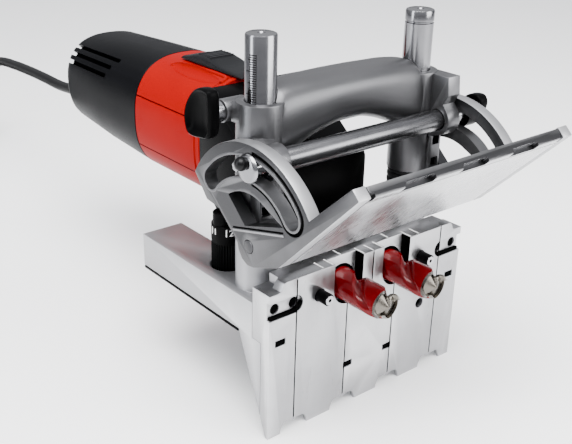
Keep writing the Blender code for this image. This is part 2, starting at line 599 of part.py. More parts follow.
def make_drive():
    """Pinion, idler and two spindles, phased so that the teeth of each meet the gaps of the next."""
    down = -pi / 2
    pinion = put("pinion", gear_bm(TEETH["pinion"], BODY_Z, 0, down), STEEL, SPIN_AXIS)
    combine(pinion, [rod_bm("Y", SPIN_AXIS, 0.0043, 0.05, 0.09, 16)], "DIFFERENCE")

    half = pi / TEETH["idler"]
    idler_axis = (0, 0, IDLER_Z)
    idler = put("idler_gear", gear_bm(TEETH["idler"], IDLER_Z, 0, pi / 2 + half), STEEL, idler_axis)
    combine(idler, [rod_bm("Y", idler_axis, 0.0030, 0.0443, 0.0785, 16)], "UNION")

    for side, word in SIDES:
        x = side * SPINDLE_X
        centre = (x, 0, SPINDLE_Z)
        mesh_angle = atan2(SPINDLE_Z - IDLER_Z, x)      # from the idler towards this spindle
        idler_pitch = 2 * pi / TEETH["idler"]
        idler_phase = ((mesh_angle - (pi / 2 + half)) / idler_pitch) % 1.0
        own_pitch = 2 * pi / TEETH["spindle"]
        own_angle = mesh_angle + pi + (0.5 + idler_phase) * own_pitch
        gear = gear_bm(TEETH["spindle"], SPINDLE_Z, x, own_angle)
        shaft = rod_bm("Y", centre, 0.0050, 0.0395, 0.0840, 16)
        chuck = [(0.0125, 0), (0.0125, 0.0068), (0.0132, 0.0075), (0.0190, 0.0075), (0.0196, 0.0080),
                 (0.0396, 0.0080), (0.0402, 0.0074), (0.0402, 0)]
        spindle = put("spindle_" + word, lathe_bm(chuck, "Y", centre, 24), DARK_STEEL, centre)
        combine(spindle, [shaft], "UNION")
        combine(spindle, [gear], "UNION")
        put("spindle_bearing_" + word, ring_bm("Y", centre, 0.0053, 0.0090, 0.0422, 0.0474), STEEL)
        make_drill_bit(side, word)


def make_drill_bit(side, word):
    """Two-flute spur-point bit: a twisted section with a centre point and two spurs."""
    centre = (side * SPINDLE_X, 0, SPINDLE_Z)
    radius, start, end = BIT_R, 0.0122, -0.0262
    turns, rings = 0.95, 13
    section = []
    for half_turn in (0, 180):
        section += arc(0, 0, radius, half_turn - 38, half_turn + 38, 4)
        section += arc(0, 0, radius * 0.42, half_turn + 70, half_turn + 110, 2)
    loops = []
    for i in range(rings + 1):
        turn = 2 * pi * turns * i / rings
        y = start + (end - start) * i / rings
        c, s = cos(turn), sin(turn)
        loops.append([(centre[0] + a * c - b * s, y, centre[2] + a * s + b * c) for a, b in section])
    bit = put("drill_bit_" + word, loft_bm(loops), CRIMSON, centre)
    tip = [(-0.0285, 0), (-0.0270, 0.0008), (-0.0255, 0.0016), (-0.0255, 0)]
    combine(bit, [lathe_bm(tip, "Y", centre, 12)], "UNION")


def make_motor():
    """Rotor, field pack, brushes and bearings inside the housings."""
    put("rotor_shaft", rod_bm("Y", SPIN_AXIS, 0.0040, 0.0630, 0.2320, 20, 0.0004), STEEL, SPIN_AXIS)
    slots = 12
    points = []
    for k in range(slots):
        for reach, share in ((0.0200, 0.06), (0.0200, 0.94), (0.0165, 0.94), (0.0165, 1.06)):
            t = 2 * pi * (k + share) / slots
            points.append((reach * cos(t), BODY_Z + reach * sin(t)))
    bore = [rod_bm("Y", SPIN_AXIS, 0.0043, 0.07, 0.25, 16)]
    combine(put("armature", prism_bm(points, "Y", 0.108, 0.148), IRON, SPIN_AXIS), bore, "DIFFERENCE")
    put("commutator", ring_bm("Y", SPIN_AXIS, 0.0043, 0.0100, 0.1550, 0.1700, 24), COPPER, SPIN_AXIS)
    put("stator", ring_bm("Y", SPIN_AXIS, 0.0206, 0.0300, 0.1060, 0.1500, 24), IRON)
    put("bearing_front", ring_bm("Y", SPIN_AXIS, 0.0043, 0.0110, 0.0745, 0.0795, 24), STEEL)
    put("bearing_rear", ring_bm("Y", SPIN_AXIS, 0.0043, 0.0090, 0.2240, 0.2300, 24), STEEL)
    bridge = put("bearing_bridge", box_bm((-0.0240, 0.2220, 0.1010), (0.0240, 0.2320, 0.1230), 0.001), GREY)
    combine(bridge, [rod_bm("Y", SPIN_AXIS, 0.0093, 0.2215, 0.2330, 24)], "DIFFERENCE")
    for side, word in SIDES:
        x0, x1 = span(side, 0.0105, 0.0260)
        put("brush_holder_" + word, box_bm((x0, 0.158, 0.107), (x1, 0.167, 0.117), 0.0006), BRASS)
    hub = put("fan", ring_bm("Y", SPIN_AXIS, 0.0043, 0.0080, 0.0865, 0.0945, 20), BLACK, SPIN_AXIS)
    blades = []
    for k in range(9):
        blade = box_bm((0.0070, 0.0868, BODY_Z - 0.0007), (0.0215, 0.0942, BODY_Z + 0.0007))
        spin = Matrix.Rotation(2 * pi * k / 9, 4, "Y")
        blade.transform(Matrix.Translation(SPIN_AXIS) @ spin @ Matrix.Translation(-Vector(SPIN_AXIS)))
        blades.append(blade)
    combine(hub, blades, "UNION")


def make_slides():
    """Shoes that run on the guide rods and the pad that meets the depth turret."""
    for side, word in SIDES:
        x0, x1 = span(side, UNIT_HALF_W + GAP, 0.0540)
        block = box_bm((x0, SHOE_FRONT, 0.0510), (x1, SHOE_REAR, 0.0612), 0.0006)
        shoe = put("slide_shoe_" + word, block, GREY)
        combine(shoe, [rod_bm("Y", (side * ROD_X, 0, ROD_Z), ROD_R + GAP, 0.04, 0.07, 16)], "DIFFERENCE")
    pad = box_bm((-0.0460, 0.0598, 0.0755), (-UNIT_HALF_W - GAP, 0.0660, 0.0860), 0.0008)
    put("depth_stop_pad", pad, GREY)


# ---------------------------------------------------------------- cord
def smooth_route(points, spacing):
    """Catmull-Rom samples about one spacing apart."""
    pts = [Vector(p) for p in points]
    pts = [2 * pts[0] - pts[1]] + pts + [2 * pts[-1] - pts[-2]]
    out = []
    for p0, p1, p2, p3 in zip(pts, pts[1:], pts[2:], pts[3:]):
        steps = max(1, round((p2 - p1).length / spacing))
        for i in range(steps):
            t = i / steps
            out.append(0.5 * (2 * p1 + (p2 - p0) * t + (2 * p0 - 5 * p1 + 4 * p2 - p3) * t * t
                              + (3 * p1 - p0 - 3 * p2 + p3) * t ** 3))
    return out + [pts[-2]]


def tube(name, points):
    curve = bpy.data.curves.new(name, "CURVE")
    curve.dimensions = "3D"
    curve.bevel_depth = CORD_R
    curve.bevel_resolution = 2
    curve.use_fill_caps = True
    spline = curve.splines.new("POLY")
    spline.points.add(len(points) - 1)
    for slot, point in zip(spline.points, points):
        slot.co = (*point, 1.0)
    curve.materials.append(material(*BLACK))
    piece = bpy.data.objects.new(name, curve)
    bpy.context.scene.collection.objects.link(piece)


def coil_point(turn, radius, z):
    """A point above or on the coil, from an angle in degrees about its middle."""
    return (COIL_CENTRE[0] + radius * cos(radians(turn)), COIL_CENTRE[1] + radius * sin(radians(turn)), z)


def make_cord():
    start = Vector((0, CAP_END + GAP, GLAND_Z))
    axis = Vector(RELIEF_END) - start
    collar = [(0, 0), (0, 0.0080), (0.0030, 0.0080), (0.0045, 0.0058), (axis.length, 0.0043),
              (axis.length, 0)]
    relief = lathe_bm(collar, "Z", (0, 0, 0), 20)
    aim = Vector((0, 0, 1)).rotation_difference(axis).to_matrix().to_4x4()
    relief.transform(Matrix.Translation(start + Vector((0, 0.0010, 0))) @ aim)
    put("strain_relief", relief, RUBBER)
    tube("cord_tube", smooth_route(CORD_ROUTE, 0.0165))

    middle = (*COIL_CENTRE, 0)
    put("cord_coil", ring_bm("Z", middle, COIL_INNER, COIL_OUTER, 0, COIL_HEIGHT, 40), BLACK)
    lie = COIL_HEIGHT + GAP + CORD_R
    run = [coil_point(turn, 0.040, lie) for turn in range(30, 91, 12)]
    bend = [(COIL_CENTRE[0] + 0.030 * cos(radians(a)), COIL_CENTRE[1] + 0.010 + 0.030 * sin(radians(a)), lie)
            for a in range(105, 181, 15)]
    tube("cord_tail", run + bend)
    x, y = COIL_CENTRE[0] - 0.030, COIL_CENTRE[1] + 0.010
    base = COIL_HEIGHT + GAP
    half = [(0.0065, 0.0010), (0.0080, 0.010), (0.0175, 0.018), (0.0185, 0.042)]
    body = [(x - across, y - back) for across, back in half]
    body += [(x + across, y - back) for across, back in reversed(half)]
    plug = put("plug", prism_bm(body, "Z", base, base + 0.0150), BLACK)
    pins = [rod_bm("Y", (x + dx, 0, base + 0.0075), 0.0024, y - 0.0610, y - 0.0400, 12, 0.0006)
            for dx in (-0.0095, 0.0095)]
    combine(plug, pins, "UNION")


def main():
    for old in list(bpy.data.objects):
        bpy.data.objects.remove(old)
    make_base()
    make_locating_pins()
    make_turret()
    make_carriage()
    make_levers()
    make_fence()
    make_gear_case()
    make_housings()
    make_switch()
    make_drive()
    make_motor()
    make_slides()
    make_cord()


main()
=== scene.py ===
"""Looks of the twin-spindle dowel jointer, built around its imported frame. Metres, in the frame's axes."""
from math import ceil, cos, hypot, pi, radians, sin, sqrt, tau

import bmesh
import bpy
from mathutils import Matrix, Vector


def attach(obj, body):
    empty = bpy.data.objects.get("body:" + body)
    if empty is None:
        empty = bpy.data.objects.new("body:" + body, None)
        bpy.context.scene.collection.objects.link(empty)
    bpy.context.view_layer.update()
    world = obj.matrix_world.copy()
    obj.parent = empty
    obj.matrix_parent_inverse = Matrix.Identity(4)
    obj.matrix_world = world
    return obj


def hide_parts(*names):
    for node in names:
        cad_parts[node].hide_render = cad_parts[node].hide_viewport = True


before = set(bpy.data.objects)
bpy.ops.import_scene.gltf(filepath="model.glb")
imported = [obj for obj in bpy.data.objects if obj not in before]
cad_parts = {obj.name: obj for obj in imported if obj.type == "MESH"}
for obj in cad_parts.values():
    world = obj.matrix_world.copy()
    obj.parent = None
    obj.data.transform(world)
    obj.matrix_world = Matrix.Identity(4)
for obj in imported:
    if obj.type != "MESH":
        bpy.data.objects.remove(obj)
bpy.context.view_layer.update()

# ---------------------------------------------------------------- sizes shared with the CAD
PLATE_FRONT = -0.001
PLATE_BACK = 0.005
PLATE_HALF_W = 0.064
PLATE_H = 0.0815
SHOULDER_Z = 0.077
BAND_BACK = 0.0115
BAND_LOW = 0.0505
SPINDLE_X = 0.016
SPINDLE_Z = 0.0676
SLOT_R = 0.0092
PIN_X = 0.034
PIN_Z = 0.0684
COLUMN_X = 0.049
COLUMN_Y = 0.0264
COLUMN_R = 0.0071
COLUMN_TOP = 0.187
BOSS_R = 0.011
BOSS_LOW = 0.106
BOSS_TOP = 0.1575
ROD_X = 0.046
ROD_Z = 0.056
TURRET = (-0.049, 0.051)
TURRET_R = 0.008
PIVOT_Y = 0.0109
PIVOT_Z = 0.098
SLOT_MID = 0.0363
SLOT_HALF = 0.0047
SLOT_ANGLES = (39, 141)
TILT_BAR_Z = 0.1345
QUAD_IN = 0.0603
QUAD_OUT = 0.0668
QUAD_R = 0.0469
FENCE_N = 0.0162
FENCE_NEAR = 0.0127
FENCE_FAR = 0.0775
FENCE_THICK = 0.0055
PAD_X = (-0.0500, -0.0162, 0.0162, 0.0500)
PAD_HALF = 0.0080
LEVER_Y = 0.038
LEVER_Z = 0.152
BODY_Z = 0.112
BODY_A = 0.0337
BODY_B = 0.034
RED_FRONT = 0.0973
SEAM_Y = 0.161
CAP_END = 0.251
WALL = 0.0028
GLAND_Z = 0.097
VENT_Z = 0.113
GAP = 0.0003
CORD_R = 0.0036
COIL_CENTRE = (-0.045, 0.540)
SIDES = ((-1, "left"), (1, "right"))


# ---------------------------------------------------------------- node helpers
def link_all(tree, *pairs):
    for source, target in pairs:
        tree.links.new(source, target)


def add_node(tree, kind, settings=(), **inputs):
    node = tree.nodes.new("ShaderNode" + kind)
    for key, value in dict(settings).items():
        setattr(node, key, value)
    for key, value in inputs.items():
        node.inputs[key.replace("_", " ")].default_value = value
    return node


# ---------------------------------------------------------------- camera, light and sky
LENS_MM = 56.63706
LENS_SHIFT = (0.00166084, 0.00746503)
CAMERA_AXES = ((0.77210, -0.63510, 0.02257), (0.24463, 0.32981, 0.91180), (-0.58653, -0.69848, 0.41001))
CAMERA_AT = (-0.2833, -0.2713, 0.2680)
LIGHTS_AIM = (0, 0.06, 0.09)
SKY_STRENGTH = 1.35

camera_data = bpy.data.cameras.new("camera")
camera_data.sensor_width = 36
camera_data.lens = LENS_MM
camera_data.shift_x, camera_data.shift_y = LENS_SHIFT
camera_data.clip_start = 0.01
camera = bpy.data.objects.new("camera", camera_data)
camera.matrix_world = Matrix([*zip(*CAMERA_AXES, CAMERA_AT), (0, 0, 0, 1)])
bpy.context.scene.collection.objects.link(camera)
bpy.context.scene.camera = camera


def add_light(name, size, power, position, tint=(1, 1, 1)):
    """A soft rectangular light turned to the machine."""
    data = bpy.data.lights.new(name, "AREA")
    data.shape = "RECTANGLE"
    data.size, data.size_y = size
    data.energy = power
    data.color = tint
    light = bpy.data.objects.new(name, data)
    light.location = position
    light.rotation_euler = (Vector(LIGHTS_AIM) - Vector(position)).to_track_quat("-Z", "Y").to_euler()
    bpy.context.scene.collection.objects.link(light)


add_light("key_softbox", (0.9, 0.8), 38.0, (-0.25, -0.20, 1.05))
add_light("front_softbox", (0.9, 0.6), 17.0, (0.60, -0.95, 0.50))
add_light("side_strip", (0.25, 0.9), 7.0, (-0.95, 0.30, 0.45), (0.93, 0.96, 1))

world = bpy.data.worlds.new("studio")
world.use_nodes = True
sky = world.node_tree
sky_place = add_node(sky, "TexCoord")
sky_split = add_node(sky, "SeparateXYZ")
sky_range = add_node(sky, "MapRange", From_Min=-1)
sky_ramp = add_node(sky, "ValToRGB")
for stop, position, colour in ((0, 0.42, (0.10, 0.10, 0.11, 1)), (1, 0.85, (0.95, 0.96, 1.0, 1))):
    sky_ramp.color_ramp.elements[stop].position = position
    sky_ramp.color_ramp.elements[stop].color = colour
link_all(sky, (sky_place.outputs["Generated"], sky_split.inputs["Vector"]),
         (sky_split.outputs["Z"], sky_range.inputs["Value"]),
         (sky_range.outputs["Result"], sky_ramp.inputs["Fac"]),
         (sky_ramp.outputs["Color"], sky.nodes["Background"].inputs["Color"]))
sky.nodes["Background"].inputs["Strength"].default_value = SKY_STRENGTH
bpy.context.scene.world = world


# ---------------------------------------------------------------- materials
def surface(name, colour, rough, metal=0.0, grain=1500.0, relief=0.06, stretch=(1, 1, 1), mottle=0.10,
            rough_range=0.10, wear=None, cloud=35.0, coat=0.0, specular=0.5):
    """A procedural finish: cloudy colour, grain in roughness and relief, and paler or brighter worn edges."""
    mat = bpy.data.materials.new(name)
    mat.use_nodes = True
    tree = mat.node_tree
    shader = tree.nodes["Principled BSDF"]
    for key, value in (("Metallic", metal), ("Coat Weight", coat), ("Coat Roughness", 0.06),
                       ("Specular IOR Level", specular)):
        shader.inputs[key].default_value = value
    place_node = add_node(tree, "TexCoord")
    mapping = add_node(tree, "Mapping", Scale=stretch)
    fine = add_node(tree, "TexNoise", Scale=grain, Detail=3.0, Roughness=0.6)
    broad = add_node(tree, "TexNoise", Scale=cloud, Detail=4.0, Roughness=0.55)
    tone = add_node(tree, "Mix", {"data_type": "RGBA"})
    dark = [c * (1 - mottle) for c in colour]
    light = [min(1, c * (1 + mottle)) for c in colour]
    tone.inputs[6].default_value = (*dark, 1)
    tone.inputs[7].default_value = (*light, 1)
    link_all(tree, (place_node.outputs["Object"], mapping.inputs["Vector"]),
             (mapping.outputs["Vector"], fine.inputs["Vector"]),
             (place_node.outputs["Object"], broad.inputs["Vector"]),
             (broad.outputs["Fac"], tone.inputs[0]))
    colour_out = tone.outputs[2]
    if wear:
        edge = add_node(tree, "NewGeometry")
        reach = add_node(tree, "MapRange", From_Min=0.53, From_Max=0.62, To_Min=0.0, To_Max=0.75)
        chip = add_node(tree, "Math", {"operation": "MULTIPLY"})
        worn = add_node(tree, "Mix", {"data_type": "RGBA"})
        worn.inputs[7].default_value = (*wear, 1)
        link_all(tree, (edge.outputs["Pointiness"], reach.inputs["Value"]),
                 (reach.outputs["Result"], chip.inputs[0]), (broad.outputs["Fac"], chip.inputs[1]),
                 (chip.outputs["Value"], worn.inputs[0]), (colour_out, worn.inputs[6]))
        colour_out = worn.outputs[2]
    gloss = add_node(tree, "MapRange", From_Min=0.3, From_Max=0.7, To_Min=rough - rough_range / 2,
                     To_Max=rough + rough_range / 2)
    blend = add_node(tree, "Math", {"operation": "ADD"})
    half_fine, half_broad = (add_node(tree, "Math", {"operation": "MULTIPLY"}) for _ in range(2))
    for half in (half_fine, half_broad):
        half.inputs[1].default_value = 0.5
    bump = add_node(tree, "Bump", Strength=relief, Distance=0.0004)
    link_all(tree, (fine.outputs["Fac"], half_fine.inputs[0]), (broad.outputs["Fac"], half_broad.inputs[0]),
             (half_fine.outputs["Value"], blend.inputs[0]), (half_broad.outputs["Value"], blend.inputs[1]),
             (blend.outputs["Value"], gloss.inputs["Value"]),
             (gloss.outputs["Result"], shader.inputs["Roughness"]),
             (fine.outputs["Fac"], bump.inputs["Height"]), (bump.outputs["Normal"], shader.inputs["Normal"]),
             (colour_out, shader.inputs["Base Color"]))
    return mat


LOOKS = {
    "plate_alloy": surface("plate_alloy_milled", (0.36, 0.36, 0.37), 0.34, 1.0, 900, 0.02, (1, 1, 0.05),
                           0.28, 0.24, (0.85, 0.85, 0.86), cloud=28.0),
    "cast_alloy": surface("cast_alloy_blasted", (0.036, 0.036, 0.038), 0.38, 0.9, 2200, 0.14, (1, 1, 1),
                          0.14, 0.12, (0.45, 0.45, 0.46), specular=0.15),
    "polished_steel": surface("steel_ground", (0.15, 0.15, 0.158), 0.20, 1.0, 2600, 0.03, (0.05, 0.05, 1),
                              0.05, 0.10, (0.85, 0.85, 0.87)),
    "dark_steel": surface("steel_blackened", (0.004, 0.004, 0.0045), 0.30, 0.4, 1800, 0.05, (1, 1, 1),
                          0.20, 0.14, (0.10, 0.10, 0.105), specular=0.2),
    "black_plastic": surface("plastic_black_satin", (0.0008, 0.0008, 0.0009), 0.32, 0.0, 2600, 0.14,
                             (1, 1, 1), 0.20, 0.12, (0.006, 0.006, 0.0065), specular=0.02),
    "grey_plastic": surface("plastic_dark_grey", (0.0060, 0.0063, 0.0070), 0.40, 0.0, 2600, 0.16, (1, 1, 1),
                            0.15, 0.12, (0.02, 0.02, 0.022), specular=0.05),
    "red_plastic": surface("plastic_red", (0.205, 0.0005, 0.0004), 0.30, 0.0, 2600, 0.06, (1, 1, 1),
                           0.07, 0.10, (0.26, 0.004, 0.003), specular=0.02),
    "crimson_coat": surface("coat_crimson", (0.125, 0.0001, 0.0022), 0.22, 0.1, 1800, 0.03, (1, 1, 1),
                            0.10, 0.08, (0.20, 0.002, 0.006), coat=0.22, specular=0.1),
    "copper_winding": surface("copper_bars", (0.45, 0.17, 0.07), 0.35, 1.0, 1500, 0.10, (1, 0.05, 1),
                              0.15, 0.12, (0.80, 0.45, 0.25)),
    "lamination_steel": surface("steel_laminated", (0.30, 0.30, 0.32), 0.45, 0.9, 2400, 0.20, (0.02, 1, 0.02),
                                0.12, 0.12, (0.55, 0.55, 0.57)),
    "rubber": surface("rubber_matt", (0.002, 0.002, 0.002), 0.66, 0.0, 2000, 0.18, (1, 1, 1),
                      0.20, 0.12, (0.02, 0.02, 0.02), specular=0.15),
    "cord_sheath": surface("sheath_black", (0.002, 0.002, 0.0022), 0.44, 0.0, 1600, 0.10, (1, 1, 1),
                            0.15, 0.12, (0.02, 0.02, 0.02), specular=0.16),
    "brass": surface("brass_bright", (0.70, 0.50, 0.22), 0.30, 1.0, 1500, 0.08, (1, 1, 1),
                     0.10, 0.12, (0.90, 0.72, 0.40)),
}
CAP_BLACK = surface("plastic_cap_satin", (0.0010, 0.0011, 0.0015), 0.36, 0.0, 2200, 0.12, (1, 1, 1), 0.16,
                    0.10, (0.008, 0.008, 0.010), specular=0.035)
FACE_ALLOY = surface("plate_alloy_polished", (0.44, 0.44, 0.455), 0.27, 1.0, 900, 0.006, (1, 0.06, 0.06),
                     0.05, 0.14, (0.97, 0.97, 0.98))
BARE_STEEL = surface("steel_bare_cut", (0.13, 0.118, 0.102), 0.26, 1.0, 2400, 0.10, (1, 1, 1), 0.12, 0.14,
                     (0.85, 0.84, 0.82))
# flat black that stands in for shade: painted shade in holes, grooves, pockets, seams, slot walls and behind
# the vents; in the plate's dashes it is also their own black paint
PAINTED_SHADE_BLACK = surface("painted_shade_black", (0.0005, 0.0005, 0.0005), 0.9, 0.0, 1200, 0.10, (1, 1, 1), 0.20, 0.10,
                 specular=0.02)
# white: the turret's printed numerals and the plate's ticks, and painted glints on the plate
WHITE_PRINT_AND_GLINT = surface("white_print_and_painted_glint", (0.86, 0.86, 0.85), 0.55, 0.0, 1500, 0.08, (1, 1, 1), 0.04, 0.08)
# dark: the column's printed scale, and painted shade in the fence's groove
DARK_PRINT_AND_SHADE = surface("dark_print_and_painted_shade", (0.002, 0.002, 0.002), 0.6, 0.0, 1500, 0.08, (1, 1, 1), 0.15, 0.10,
                    specular=0.05)
# the arms' machined alloy, also used as a painted highlight on the quadrants' rims
ARM_ALLOY_AND_RIM_HIGHLIGHT = surface("cast_alloy_machined_and_rim_highlight", (0.30, 0.30, 0.31), 0.44, 0.9, 1400, 0.03, (1, 0.06, 1), 0.10,
                    0.14, (0.85, 0.85, 0.86), cloud=22.0)
BRIDGE_ALLOY = surface("cast_alloy_bridge", (0.095, 0.095, 0.099), 0.38, 0.9, 2000, 0.12, (1, 1, 1), 0.12,
                       0.12, (0.62, 0.62, 0.64), specular=0.3)
BAR_ALLOY = surface("steel_bar_drawn", (0.105, 0.105, 0.11), 0.28, 1.0, 1800, 0.008, (0.04, 1, 1), 0.10, 0.12,
                    (0.80, 0.80, 0.82))
FLOOR = surface("floor_pale", (0.97, 0.97, 0.97), 0.75, 0.0, 300, 0.02, (1, 1, 1), 0.01, 0.05, cloud=4.0)


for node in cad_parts.values():
    for held in node.material_slots:
        held.material = LOOKS[held.material.name.split(".")[0]]


# ---------------------------------------------------------------- mesh helpers
def plane_point(axis, a, b, depth):
    """Outline coordinates and a depth along the axis, as a point: X takes (y, z), and so on."""
    return {"X": (depth, a, b), "Y": (a, depth, b), "Z": (a, b, depth)}[axis]


def prism_bm(outline, axis, start, end):
    """An outline across an axis, filled between two places on that axis."""
    bm = bmesh.new()
    face = bm.faces.new([bm.verts.new(plane_point(axis, a, b, start)) for a, b in outline])
    grown = bmesh.ops.extrude_face_region(bm, geom=[face])
    moved = [item for item in grown["geom"] if isinstance(item, bmesh.types.BMVert)]
    bmesh.ops.translate(bm, verts=moved, vec=Vector(plane_point(axis, 0, 0, end - start)))
    bmesh.ops.recalc_face_normals(bm, faces=bm.faces)
    return bm


def box_bm(low, high):
    bm = bmesh.new()
    bmesh.ops.create_cube(bm, size=1.0)
    size = Vector(high) - Vector(low)
    bm.transform(Matrix.Translation((Vector(high) + Vector(low)) / 2) @ Matrix.Diagonal((*size, 1.0)))
    return bm


def lathe_bm(profile, axis, centre, steps=64):
    """Turn a profile of (distance along the axis, radius) about an axis through centre."""
    bm = bmesh.new()
    rings = []
    for along, radius in profile:
        if radius == 0:
            rings.append([bm.verts.new((0, 0, along))])
        else:
            rings.append([bm.verts.new((radius * cos(tau * k / steps), radius * sin(tau * k / steps), along))
                          for k in range(steps)])
    pairs = list(zip(rings, rings[1:]))
    if profile[0][1] != 0:
        pairs.append((rings[-1], rings[0]))
    for one, two in pairs:
        for k in range(steps):
            n = (k + 1) % steps
            if len(one) == 1:
                bm.faces.new((one[0], two[k], two[n]))
            elif len(two) == 1:
                bm.faces.new((one[k], two[0], one[n]))
            else:
                bm.faces.new((one[k], two[k], two[n], one[n]))
    turn = {"Z": Matrix(), "Y": Matrix.Rotation(-pi / 2, 4, "X"), "X": Matrix.Rotation(pi / 2, 4, "Y")}
    bm.transform(Matrix.Translation(Vector(centre)) @ turn[axis])
    bmesh.ops.recalc_face_normals(bm, faces=bm.faces)
    return bm


def rod_bm(axis, centre, radius, start, end, steps=48, chamfer=0.0):
    """A round bar along an axis through centre, with softened ends if a chamfer is given."""
    c = chamfer
    if not c:
        return lathe_bm([(start, 0), (start, radius), (end, radius), (end, 0)], axis, centre, steps)
    near = [(start, 0), (start, radius - c), (start + 0.3 * c, radius - 0.3 * c), (start + c, radius)]
    far = [(end - c, radius), (end - 0.3 * c, radius - 0.3 * c), (end, radius - c), (end, 0)]
    return lathe_bm(near + far, axis, centre, steps)


def ring_bm(axis, centre, inner, outer, start, end, steps=48):
    return lathe_bm([(start, inner), (start, outer), (end, outer), (end, inner)], axis, centre, steps)


def arc(ca, cb, radius, first, last, count):
    """Points about (ca, cb) from one bearing in degrees to another."""
    turns = [radians(first + (last - first) * i / (count - 1)) for i in range(count)]
    return [(ca + radius * cos(t), cb + radius * sin(t)) for t in turns]


def superellipse(centre_z, a, b, power, y, count=96):
    """A rounded-box ring across the Y axis, a wide and b high from its middle."""
    points = []
    for i in range(count):
        c, s = cos(tau * i / count), sin(tau * i / count)
        points.append((a * abs(c) ** (2 / power) * (1 if c >= 0 else -1), y,
                       centre_z + b * abs(s) ** (2 / power) * (1 if s >= 0 else -1)))
    return points


def loft_bm(rings, loop=False):
    """Skin a row of rings with equal counts: closed at both ends, or round in a loop."""
    bm = bmesh.new()
    loops = [[bm.verts.new(point) for point in ring] for ring in rings]
    pairs = list(zip(loops, loops[1:]))
    if loop:
        pairs.append((loops[-1], loops[0]))
    count = len(loops[0])
    for one, two in pairs:
        for k in range(count):
            n = (k + 1) % count
            bm.faces.new((one[k], one[n], two[n], two[k]))
    if not loop:
        bm.faces.new(loops[0])
        bm.faces.new(loops[-1])
    bmesh.ops.recalc_face_normals(bm, faces=bm.faces)
    return bm


def span(side, a, b):
    """Two distances from the middle, on one side, in rising X."""
    return sorted((side * a, side * b))


def sided(outline, side):
    """An outline drawn for the right side, mirrored for the left."""
    return outline if side > 0 else [(-a, b) for a, b in reversed(outline)]


def between(p0, p1, p2, p3, t):
    """Catmull-Rom value from p1 to p2, for numbers or vectors."""
    return 0.5 * (2 * p1 + (p2 - p0) * t + (2 * p0 - 5 * p1 + 4 * p2 - p3) * t * t
                  + (3 * p1 - p0 - 3 * p2 + p3) * t ** 3)


def raw_object(name, bm):
    mesh = bpy.data.meshes.new(name)
    bm.to_mesh(mesh)
    bm.free()
    thing = bpy.data.objects.new(name, mesh)
    bpy.context.scene.collection.objects.link(thing)
    return thing


def baked(thing):
    """The object's mesh with its modifiers applied."""
    mesh = bpy.data.meshes.new_from_object(thing.evaluated_get(bpy.context.evaluated_depsgraph_get()))
    thing.modifiers.clear()
    return mesh


def merged(bm, joins=(), cuts=()):
    """Boolean shapes into and out of a shape, then drop the flat edges that this leaves."""
    base = raw_object("base_shape", bm)
    tools = []
    for operation, shapes in (("UNION", joins), ("DIFFERENCE", cuts)):
        for shape in shapes:
            tools.append(raw_object("tool_shape", shape))
            mod = base.modifiers.new("shape", "BOOLEAN")
            mod.operation = operation
            mod.solver = "EXACT"
            mod.object = tools[-1]
    mesh = baked(base)
    out = bmesh.new()
    out.from_mesh(mesh)
    for tool in (*tools, base):
        bpy.data.objects.remove(tool)
    bmesh.ops.remove_doubles(out, verts=out.verts, dist=0.00001)
    bmesh.ops.dissolve_degenerate(out, edges=out.edges, dist=0.00001)
    bmesh.ops.dissolve_limit(out, angle_limit=radians(0.4), verts=out.verts, edges=out.edges)
    return out


def cad_bm(name):
    """A copy of a CAD node's mesh, welded, with its flat faces made whole."""
    bm = bmesh.new()
    bm.from_mesh(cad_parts[name].data)
    bmesh.ops.remove_doubles(bm, verts=bm.verts, dist=0.00001)
    bmesh.ops.dissolve_limit(bm, angle_limit=radians(0.6), verts=bm.verts, edges=bm.edges)
    return bm


def add_piece(name, bm, body, slot, replaces=(), look=None, bevel=0.0, corner=34):
    """Finish a shape: edges, shading, body and look, which is the slot's own unless one is given."""
    thing = raw_object(name, bm)
    for one in look if isinstance(look, list) else [look or LOOKS[slot]]:
        thing.data.materials.append(one)
    if bevel:
        mod = thing.modifiers.new("edge", "BEVEL")
        mod.width = bevel
        mod.segments = 2
        mod.limit_method = "ANGLE"
        mod.angle_limit = radians(corner)
        mod.use_clamp_overlap = False
        mod.harden_normals = False
        thing.data = baked(thing)
    thing.data.shade_smooth()
    thing.data.set_sharp_from_angle(angle=radians(corner))
    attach(thing, body)
    if replaces:
        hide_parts(*replaces)
    return thing


def joined(*parts):
    """Several separate shapes as one mesh, each part a (shape, material index) pair or a shape."""
    out = bmesh.new()
    for part in parts:
        shape, index = part if isinstance(part, tuple) else (part, 0)
        for face in shape.faces:
            face.material_index = index
        mesh = bpy.data.meshes.new("part")
        shape.to_mesh(mesh)
        shape.free()
        out.from_mesh(mesh)
        bpy.data.meshes.remove(mesh)
    return out


floor_bm = bmesh.new()
bmesh.ops.create_grid(floor_bm, x_segments=2, y_segments=2, size=4.0)
floor = raw_object("floor", floor_bm)
floor.data.materials.append(FLOOR)


# ---------------------------------------------------------------- cord
CORD_EXIT = (0, 0.2953, 0.09146)
CORD_ROUTE = [CORD_EXIT, (0, 0.3235, 0.0890), (0, 0.3494, 0.0892), (0, 0.3726, 0.0890),
              (0, 0.4024, 0.0879), (0.0005, 0.4315, 0.0848), (0.0025, 0.4560, 0.0750),
              (0.0050, 0.4780, 0.0590), (0.0078, 0.4970, 0.0400), (0.0096, 0.5140, 0.0230),
              (0.0106, 0.5290, 0.0110), (0.0107, 0.5430, 0.0052), (0.0087, 0.5560, 0.0039),
              (0.0044, 0.5668, 0.0039), (-0.0016, 0.5755, 0.0039), (-0.0092, 0.5832, 0.0039)]
LANES = (0.0476, 0.0401, 0.0326)         # the coil's turns, outer to inner
LAYERS = (0.0039, 0.0110, 0.0182, 0.0254, 0.0325)
TAIL_R, TAIL_Z = 0.0400, 0.0399
BEND_R, BEND_SHIFT = 0.030, 0.010         # the tail's last bend, set back from the coil's middle
